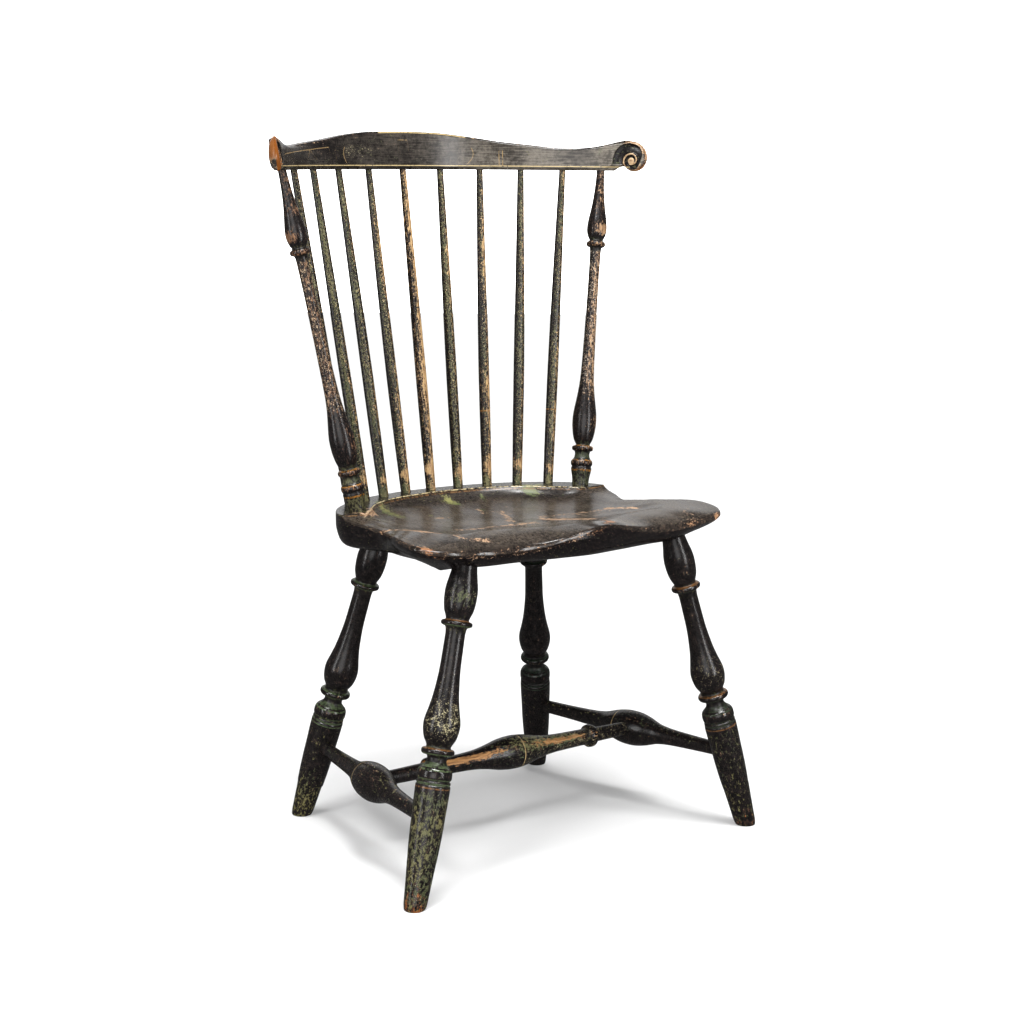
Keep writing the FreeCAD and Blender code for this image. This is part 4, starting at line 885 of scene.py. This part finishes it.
def make_seat(material):
    """The plank as one closed skin. Columns go round the middle of the hollow, closer at the ends of
    the ledge. Rows go from the middle over the ledge's front arris, or the ridge of the hollow, to
    the outer arris, round it by a quarter turn, down the undercut side and in under the plank."""
    half = np.radians(spread((0, 76, 88), (76, LEDGE_END_ANGLE, 20), (LEDGE_END_ANGLE, 98, 40),
                             (98, 180, 104)))
    angle = np.concatenate([half, -half[-2:0:-1]])
    turned_from_back = np.degrees(np.abs(angle))
    place = station_at(angle)
    reach = catmull(STATION_REACH, place)
    direction = np.stack([np.sin(angle), np.cos(angle)], -1)
    outline = SEAT_MIDDLE + direction * reach[:, None]
    tangent = np.roll(outline, -1, axis=0) - np.roll(outline, 1, axis=0)
    for _ in range(TANGENT_ROUNDS):
        tangent = (np.roll(tangent, 1, axis=0) + 2 * tangent + np.roll(tangent, -1, axis=0)) / 4
    inward = np.stack([tangent[:, 1], -tangent[:, 0]], -1)
    inward = inward / np.linalg.norm(inward, axis=1)[:, None]
    under = SEAT_UNDERCUT * catmull(STATIONS[:, 2], place)
    soft = catmull(STATIONS[:, 6], place)
    lobe = ease(7.0, 9.0, place) * ease(13.4, 12.0, place)
    ledge = smooth_line(turned_from_back, LEDGE_CURVE)
    ridge = reach * catmull(STATIONS[:, 4], place)
    knee = ledge + (ridge - ledge) * ease(LEDGE_END_ANGLE, 104, turned_from_back)

    def drawn_in(height):
        return under * (smooth_line(height, UPRIGHT_SIDE) * (1 - lobe)
                        + smooth_line(height, SLOPING_SIDE) * lobe)

    edge = outline.copy()
    for _ in range(EDGE_ROUNDS):
        height = carved_top(edge)[0] - soft
        edge = outline + inward * drawn_in(height)[:, None]
    start = SEAT_MIDDLE + (edge - SEAT_MIDDLE) * (1 - soft / reach)[:, None]
    rings, drops = [], []

    def ring(points, height, drop):
        rings.append(np.concatenate([points, (height + 0 * angle)[:, None]], -1))
        drops.append(drop + 0 * angle)

    def top_ring(points, lowered=0.0):
        ring(points, carved_top(points)[0] - lowered, -np.linalg.norm(edge - points, axis=1))

    for share in spread((0.03, 0.84, 30), (0.84, 1.0, 22)):
        top_ring(SEAT_MIDDLE + direction * (knee * share)[:, None])
    last = SEAT_MIDDLE + direction * knee[:, None]
    for share in spread((0, 0.12, 3), (0.12, 1, 14))[1:]:
        top_ring(last + (start - last) * share)
    for turn in np.linspace(0, math.pi / 2, 8)[1:]:
        top_ring(start + (edge - start) * math.sin(turn), soft * (1 - math.cos(turn)))
    brink = rings[-1][:, 2]
    thin = 1.2 * ease(-60, -170, outline[:, 1]) + 1.6 * lobe
    for share in spread((0, 0.7, 14), (0.7, 1, 14))[1:]:
        height = brink + (-SEAT_THICKNESS - brink) * share
        ring(outline + inward * drawn_in(height)[:, None], height + thin * share, brink - height)
    floor_ring = rings[-1][:, :2]
    for share in (0.99, 0.96, 0.9, 0.7, 0.4, 0.1):
        ring(SEAT_MIDDLE + (floor_ring - SEAT_MIDDLE) * share, thin * ease(0, 0.8, share) - SEAT_THICKNESS,
             UNDERSIDE_DROP + (1 - share) * UNDERSIDE_RUN)
    rings, drops = np.array(rings), np.array(drops)
    across, along, height = rings[..., 0], rings[..., 1], rings[..., 2]
    points = np.stack([across, along * math.cos(SEAT_TILT) + height * math.sin(SEAT_TILT),
                       seat_top(0) - along * math.sin(SEAT_TILT) + height * math.cos(SEAT_TILT)], -1)
    fields = seat_looks(across, along, height, drops, turned_from_back < LEDGE_END_ANGLE)
    return closed_tube("seat_plank", points * MM, fields, "seat", material)


# The crest rail

# The rail's top: (distance along the bend, height over its underside). Its end is a volute about an
# eye, whose outer edge and ridge width are given by the turn in degrees clockwise from straight up.
EYE_ALONG, EYE_UP = 345.0, 14.5
TOP_CURVE = ((-50, 52.0), (0, 53.0), (50, 52.0), (75, 50.0), (100, 47.2), (125, 43.8), (150, 40.4),
             (175, 37.8), (200, 35.4), (225, 33.0), (245, 31.7), (262, 31.6), (285, 33.3), (298, 35.4),
             (314, 39.0), (326, 41.9), (336, 43.3), (341, 43.1))
VOLUTE_OUTER = ((-20, 28.6), (0, 27.8), (22, 26.9), (45, 25.6), (67, 24.3), (90, 22.8), (112, 20.7),
                (135, 18.4), (157, 16.3), (180, 14.7), (202, 13.5), (225, 12.8), (270, 12.0), (315, 11.3),
                (360, 10.6), (405, 9.7), (450, 8.4), (480, 7.2), (510, 6.0), (600, 5.0))
VOLUTE_WIDTH = ((-20, 3.0), (0, 3.2), (22, 3.5), (45, 4.3), (70, 6.3), (90, 7.6), (112, 6.4),
                (135, 4.5), (157, 3.2), (180, 2.5), (202, 2.0), (225, 1.8), (270, 1.6), (600, 1.5))
UPPER_LEFT_RIM = ((0, 27.6), (315, 27.5), (325, 27.2), (335, 26.6), (348, 25.4), (360, 24.7))
COVE = ((318.5, 0.0), (321.5, 2.2), (325.3, 4.6), (329.0, 5.8), (332.4, 6.2), (334.6, 6.0))
BEVEL = ((0, 4.0), (300, 4.0), (306, 4.6), (318, 9.0), (333, 9.0), (368, 9.0))
BEVEL_HEIGHT, BEVEL_SLOPE = 9.0, 0.85
EAR_COLUMNS, TIP_COLUMNS = 362, 26
CREST_HALF = 8.5
EAR_START, EAR_FULL = 312, 334
EAR_THINNED, EAR_DOME, EAR_DOME_REACH = 1.0, 7.6, 27
FRONT_ROUND, EAR_FRONT_ROUND = 3.4, 3.0
BACK_ROUND, EAR_BACK_ROUND = 1.8, 4.4
CARVE_DEPTH = 5.2
BORDER_HEIGHT, BORDER_DROP = 5.6, 1.6
SCRIBED = ((-303, 20.5), (-231, 24.5), (-145, 30))
NO_LINE = 20.0


def crest_silhouettes():
    """The rail's top and under edges as dense lines of (along, height) that meet at its end."""
    def volute(low, high, count):
        turn = np.linspace(low, high, count)
        reach = smooth_line(turn, VOLUTE_OUTER)
        return np.stack([EYE_ALONG + reach * np.sin(np.radians(turn)),
                         EYE_UP + reach * np.cos(np.radians(turn))], -1)
    tip = 180 * np.argmax(volute(0, 180, 1801)[:, 0]) / 1800
    board = np.arange(0, 341.0, 1.0)
    above = np.concatenate([np.stack([board, smooth_line(board, TOP_CURVE)], -1), volute(0, tip, 300)])
    flat = np.arange(0, 318.0, 2.0)
    cove_along = np.linspace(COVE[0][0], COVE[-1][0], 30)
    below = np.concatenate([np.stack([flat, 0 * flat], -1),
                            np.stack([cove_along, smooth_line(cove_along, COVE)], -1),
                            volute(226, tip, 400)])
    return above, below


def crest_grid():
    """The rail's front seen flat. Gives the columns along the bend, and then rows of points: their
    distance from the middle, their height, the column's low and high ends and bevel, and the
    distance inside the outline. Columns lie closer in the ears and ease out at the tips."""
    above, below = crest_silhouettes()
    end = above[-1, 0]
    closing = np.sin(np.linspace(0.08, 1, TIP_COLUMNS) * math.pi / 2)
    right_half = np.concatenate([spread((0, 296, 98), (296, EAR_COLUMNS, 130)),
                                 end - (end - EAR_COLUMNS) * (1 - closing)])
    right_half[-1] = end - 0.004
    columns = np.concatenate([-right_half[:0:-1], right_half])
    side = np.abs(columns)
    high = np.interp(side, above[:, 0], above[:, 1])
    low = np.minimum(np.interp(side, below[:, 0], below[:, 1]), high - 0.02)
    bevel = np.where(side < COVE[0][0], smooth_line(side, BEVEL), np.maximum(BEVEL_HEIGHT - low, 0.0))
    bevel = bevel * ease(336, 332, side)
    zone = np.clip(bevel, 0.12 * (high - low), 0.5 * (high - low))[:, None]
    low, high = low[:, None], high[:, None]
    steps = np.linspace(0, 1, 56)[None, :]
    climb = 0.55 * steps + 0.45 * (1 - np.cos(math.pi * steps)) / 2
    height = np.concatenate([low + zone * np.linspace(0, 1, 8)[None, :-1],
                             low + zone + (high - low - zone) * climb], 1)
    along = np.repeat(side[:, None], height.shape[1], 1)
    edges = np.concatenate([above, below[below[:, 0] > 333]]).astype(np.float32)
    inset = np.full(height.shape, 1e9, np.float32)
    for part in np.array_split(edges, 12):
        gap = np.hypot(along[..., None] - part[:, 0], height[..., None] - part[:, 1])
        inset = np.minimum(inset, gap.min(axis=-1))
    return columns, along, height, low, high, bevel[:, None], inset


Carving = namedtuple("Carving", "turn reach wall carved ridge raised eye sunk outward")


def volute_carving(along, height):
    """The carving of an ear's front about its eye. Wall is the distance inside the rim, carved the
    share of the depth that it allows, ridge the inner turn that is left standing, raised that or the
    eye, and sunk the depth in mm: carved times one minus raised, less in the middle of the bowl."""
    u, v = along - EYE_ALONG, height - EYE_UP
    reach = np.hypot(u, v)
    turn = np.degrees(np.arctan2(u, v)) % 360
    first = np.where(turn > 340, turn - 360, turn)
    rim_inner = smooth_line(first, VOLUTE_OUTER) - smooth_line(first, VOLUTE_WIDTH)
    upper_left = smooth_line(turn, UPPER_LEFT_RIM)
    wall = np.where((turn > 225) & (turn < 340), upper_left - reach, rim_inner - reach)
    wall = np.where(turn >= 340, np.minimum(upper_left, rim_inner) - reach, wall)
    wall = np.where((turn > 225) & (u < -9.5), np.minimum(wall, v + 5.6), wall)
    carved = ease(0.0, 1.0, wall / (1.0 + 2.4 * hump(turn, 85, 40)))
    second = np.where(turn > 215, turn, turn + 360)
    ridge_outer = smooth_line(second, VOLUTE_OUTER)
    ridge_inner = ridge_outer - smooth_line(second, VOLUTE_WIDTH)
    ridge = ease(-1.7, 0.35, np.minimum(ridge_outer - reach, reach - ridge_inner))
    eye = ease(5.6, 4.5, reach)
    raised = np.maximum(ridge, eye)
    bowl = 0.72 + 0.28 * ease(13, 22, reach)
    sunk = CARVE_DEPTH * bowl * carved * (1 - raised) + 0.9 * eye * (reach / 5.0) ** 2 * carved
    return Carving(turn, reach, wall, carved, ridge, raised, eye, sunk, ease(-14, 8, u + 0.4 * v))


def crest_lines(signed, height, high):
    """Signed distances in mm from the painted border and from the nearest of the scribed marks."""
    def bounded(distance, low_end, high_end):
        """The distance where the height lies between two ends, and far off elsewhere."""
        return np.where((height > low_end) & (height < high_end), distance, NO_LINE)
    scribed = smooth_line(signed, SCRIBED)
    marks = np.array((
        bounded(signed + 116 - 0.035 * (height - 20) ** 2, 8, 31),
        bounded(signed - 110.5 + 0.045 * (height - 23) ** 2, 6, 32),
        bounded(np.abs(signed - 152.2) - 2.7, 6, 28),
        bounded(np.abs(signed + 198), 13, 26) - 0.1,
        np.where((signed > SCRIBED[0][0]) & (signed < SCRIBED[-1][0]), height - scribed, NO_LINE),
        np.where((signed > -10) & (signed < 8), height - 41, NO_LINE)))
    mark = np.take_along_axis(marks, np.abs(marks).argmin(axis=0)[None], 0)[0]
    lower = np.where(np.abs(signed) < 343, height - BORDER_HEIGHT, NO_LINE)
    upper = np.where((signed > -44) & (signed < 100), high - height - BORDER_DROP, NO_LINE)
    return np.where(np.abs(lower) < np.abs(upper), lower, upper), mark


def crest_looks(columns, height, high, inset, in_ear, carving, section_height):
    """The rail's fields over its whole section, whose first half of rows is the front. The right
    ear's ridges are rubbed, and the left ear glows round its edge and over its back. The dust on
    the face is also painted sheen, and where it is left out in the carving it is painted shade."""
    rows = height.shape[1]
    signed = np.repeat(columns[:, None], rows, 1)
    right_ear = signed > 0
    edge_glow = np.where(right_ear, ease(6.5, 2.0, inset), ease(8.5, 4.0, inset))
    edge_glow = edge_glow * ease(322, 336, np.abs(signed))
    ridge_face = np.maximum(carving.ridge * carving.carved, carving.eye)
    cut = carving.sunk / CARVE_DEPTH
    wear = (0.03 + 0.12 * ease(2.5, 0.5, inset)
            + edge_glow * np.where(right_ear, 0.35 * carving.outward, 0.78)
            + 0.6 * ridge_face * in_ear * (0.6 + 0.4 * right_ear)
            + 0.3 * hump(carving.wall, -0.6, 0.9) * in_ear
            + 0.3 * hump(signed, 91, 3) * ease(5, 2, high - height) - 0.5 * cut * (1 - carving.raised))
    # Dust on the face, which also stands for painted sheen: darker at the left end, lighter over the right
    # middle and the neck, left out in the carving as painted shade, and thinner near the outline.
    neck = ease(270, 312, signed) * (1 - carving.carved * in_ear)
    dust = np.clip(0.1 + 0.16 * ease(-260, 0, signed) + 0.3 * hump(signed, 190, 90)
                   + 0.14 * ripple(3, signed * 0.02, height * 0.05) + 0.75 * neck, 0, 1)
    dust = dust * (1 - edge_glow) * (1 - ease(0.2, 2.5, carving.sunk))
    dust = dust * (0.35 + 0.65 * ease(0.5, 4.0, inset)) * ease(-350, -320, signed)
    tint = np.clip(edge_glow * np.where(right_ear, 0.35 + 0.5 * hump(carving.turn, 120, 22), 1.0), 0, 1)
    flecks = 0.12 + 0.7 * hump(signed, -90, 40) * hump(height, 26, 12) + 0.5 * hump(signed, -318, 14)
    border, mark = crest_lines(signed, height, high)

    lengthwise = np.repeat(columns[:, None], 2 * rows, 1)
    on_left = lengthwise < 0
    dark_foot = ease(4, 12, section_height - 0.35 * (np.abs(lengthwise) - EYE_ALONG))
    polished = ease(326, 350, -lengthwise) * (0.25 + 0.75 * dark_foot)
    round_edge = np.concatenate([edge_glow, edge_glow[:, ::-1]], 1) * (lengthwise > 0)
    backside = np.maximum(round_edge, polished)

    def whole(front, behind=0.0):
        return np.concatenate([front, behind + 0 * front], 1)

    return {
        "border": whole(border, NO_LINE) * MM, "mark": whole(mark, NO_LINE) * MM,
        "relief": np.clip(whole(ease(4, 0.5, inset) + 0.6 * ridge_face - cut), -1, 1),
        "wear": whole(wear, 0.08 + (0.5 + 0.3 * on_left[:, rows:]) * backside[:, rows:]),
        "flecks": whole(flecks, 0.1), "green": whole(0.04 + 0.1 * neck, 0.06),
        "dust": whole(dust, 0.25), "tint": np.maximum(whole(tint), backside * 0.9 * on_left)}


def make_crest(material):
    """The bowed rail with both ears as one closed skin. Columns go along the bend, rings round its
    section: up the front over a bevel, over the rounded top and down the back. Near the outline the
    half thickness shrinks as a quarter circle, the back of an ear is domed by the square of the
    distance from its eye, and the front is sunk by the carving between the volute's ridges."""
    columns, along, height, low, high, bevel, inset = crest_grid()
    in_ear = ease(EAR_START, EAR_FULL, along)
    carving = volute_carving(along, height)

    def rounded(radius):
        left = np.clip(radius - inset, 0, radius)
        return radius - np.sqrt(np.maximum(radius ** 2 - left ** 2, 0))

    half_front = CREST_HALF - EAR_THINNED * in_ear
    half_back = half_front - EAR_DOME * in_ear * np.clip(carving.reach / EAR_DOME_REACH, 0, 1.1) ** 2
    chamfer = BEVEL_SLOPE * np.maximum(bevel - (height - low), 0) * ease(338, 333, along)
    front_round = rounded(FRONT_ROUND + EAR_FRONT_ROUND * in_ear)
    front = -half_front + np.maximum(front_round, chamfer) + carving.sunk
    back = half_back - rounded(BACK_ROUND + EAR_BACK_ROUND * in_ear)
    middle = (front + back) / 2
    front, back = np.minimum(front, middle - 0.01), np.maximum(back, middle + 0.01)
    section_height = np.concatenate([height, height[:, ::-1]], 1)
    section_depth = np.concatenate([front, back[:, ::-1]], 1)
    bend = (columns / CREST_BEND)[:, None]
    out = CREST_BEND + section_height * math.tan(CREST_LEAN) + section_depth
    points = np.stack([out * np.sin(bend), CREST_LINE - CREST_BEND + out * np.cos(bend),
                       CREST_UNDER + section_height + 0 * bend], -1)
    fields = crest_looks(columns, height, high, inset, in_ear, carving, section_height)
    spot = np.stack([section_height, section_depth * 1.3, columns[:, None] + 0 * section_height], -1)
    fields["spot"] = spot * MM
    return closed_tube("crest_rail_carving", points * MM, fields, "crest_rail", material)


# The dust colours of the seat and of the crest are also their painted sheen.
seat_paint = painted(
    "seat_worn_black", Across=420.0, Along=42.0, Grain_Share=0.5, Edge_Rub=0.06, Polish=0.04,
    Rust=colour(0.25, 0.115, 0.05), Chip_Scale=170.0,
    Wood_Light=colour(0.46, 0.31, 0.2), Wood_Dark=colour(0.16, 0.08, 0.045), Mottle=300.0,
    Green_Deep=colour(0.06, 0.08, 0.03), Green_Olive=colour(0.2, 0.195, 0.075),
    Dust_Colour=colour(0.098, 0.08, 0.063), bump=0.00028,
    lines=((0.3, 0.45, 0.495, colour(0.46, 0.38, 0.22)), (2.2, 0.8, 0.5, colour(0.15, 0.085, 0.04))))
crest_paint = painted(
    "crest_worn_black", Across=620.0, Along=30.0, Grain_Share=0.45, Edge_Rub=0.1, Polish=0.05,
    Rust=colour(0.19, 0.066, 0.013),
    Dust_Colour=colour(0.23, 0.205, 0.17), Wood_Light=colour(0.46, 0.33, 0.2), bump=0.00022,
    lines=((0.0, 0.6, 0.41, colour(0.46, 0.36, 0.19), "border"),
           (0.0, 0.45, 0.44, colour(0.3, 0.21, 0.105), "mark")))
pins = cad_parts["crest_pins"].data
pins.materials.clear()
pins.materials.append(painted("crest_pins_black", fields=False, Wear=0.05, Green=0.04, Across=900.0,
                              Along=60.0))
make_seat(seat_paint)
make_crest(crest_paint)


# Light, floor and camera

# The camera, resected from the photograph.
AZIMUTH = math.radians(-36.585)
ELEVATION = math.radians(10.262)
ROLL = math.radians(0.514)
TARGET = Vector((-0.0692, -0.1385, 0.4663))
DISTANCE = 2.5765
ACROSS_VIEW = Vector((0.803, -0.596, 0.0))
INTO_VIEW = Vector((0.596, 0.803, 0.0))
WHITE = (1.0, 1.0, 1.0, 1.0)
FLOOR_HALF = 30
BACKDROP_OFF, BACKDROP_HEIGHT = 9, 7


def aimed(light, travel):
    """Turns a light so that it shines this way."""
    light.rotation_euler = travel.to_track_quat("-Z", "Y").to_euler()


def lamp(name, place, aim, width, height, power):
    """A white rectangular lamp, sizes in metres and power in watts."""
    data = bpy.data.lights.new(name, "AREA")
    data.shape = "RECTANGLE"
    data.size, data.size_y = width, height
    data.energy = power
    light = placed(name, data)
    light.location = place
    aimed(light, Vector(aim) - Vector(place))


def sun(name, across, into, down, energy, degrees):
    """A wide distant lamp whose light travels this way, as seen from the camera."""
    data = bpy.data.lights.new(name, "SUN")
    data.energy = energy
    data.angle = math.radians(degrees)
    aimed(placed(name, data), ACROSS_VIEW * across + INTO_VIEW * into + Vector((0, 0, -down)))


sun("umbrella_left", 0.45, 0.78, 1.0, 0.75, 12)
sun("umbrella_right", -0.4, 0.34, 1.0, 0.65, 10)
sun("overhead", 0.0, 0.1, 1.0, 1.5, 16)
sun("front_fill", 0.1, 1.0, 0.2, 0.7, 40)
lamp("softbox", (-0.25, -1.05, 2.7), (0, 0, 0.45), 0.9, 0.6, 22)
lamp("strip_right", (0.6, -2.53, 0.95), (0, 0, 0.55), 0.3, 1.9, 22)
lamp("strip_left", (-2.6, 0.07, 0.95), (0, 0, 0.55), 0.3, 1.9, 14)
lamp("white_wall", (1.8, 2.4, 1.45), (0, 0, 0.5), 4.0, 1.4, 10)

scene = bpy.context.scene
scene.world = bpy.data.worlds.new("studio")
scene.world.use_nodes = True
sky = scene.world.node_tree.nodes["Background"].inputs
sky["Color"].default_value = WHITE
sky["Strength"].default_value = 0.12


def stage_plane(name, corners, grey, glow):
    """One large quad that belongs to the studio, plain and a little luminous."""
    material = bpy.data.materials.new(f"{name}_white")
    material.use_nodes = True
    inputs = material.node_tree.nodes["Principled BSDF"].inputs
    inputs["Base Color"].default_value = colour(grey, grey, grey)
    inputs["Roughness"].default_value = 0.9
    inputs["Emission Color"].default_value = WHITE
    inputs["Emission Strength"].default_value = glow
    mesh = bpy.data.meshes.new(name)
    mesh.from_pydata(corners, [], [(0, 1, 2, 3)])
    mesh.materials.append(material)
    plane = placed(name, mesh)
    plane.visible_glossy = False
    return plane


backward = Vector((math.sin(AZIMUTH) * math.cos(ELEVATION), -math.cos(AZIMUTH) * math.cos(ELEVATION),
                   math.sin(ELEVATION)))
level = Vector((math.cos(AZIMUTH), math.sin(AZIMUTH), 0))
upward = backward.cross(level)
right = math.cos(ROLL) * level + math.sin(ROLL) * upward
above = -math.sin(ROLL) * level + math.cos(ROLL) * upward
stage_plane("floor", [(x * FLOOR_HALF, y * FLOOR_HALF, 0) for x, y in ((-1, -1), (1, -1), (1, 1), (-1, 1))],
            grey=0.58, glow=0.14)
far = -backward * BACKDROP_OFF
far.z = 0
side = level * BACKDROP_OFF
high = Vector((0, 0, BACKDROP_HEIGHT))
backdrop = stage_plane("backdrop", [far - side, far + side, far + side + high, far - side + high],
                       grey=0.9, glow=1.2)
backdrop.visible_diffuse = False

camera_data = bpy.data.cameras.new("camera")
camera_data.lens = 70.0
camera_data.sensor_width = 36.0
camera = placed("camera", camera_data)
place = TARGET + backward * DISTANCE
camera.matrix_world = Matrix(((right.x, above.x, backward.x, place.x),
                              (right.y, above.y, backward.y, place.y),
                              (right.z, above.z, backward.z, place.z), (0, 0, 0, 1)))
scene.camera = camera
scene.view_settings.view_transform = "Standard"
scene.view_settings.look = "Medium High Contrast"
scene.view_settings.exposure = 0.3
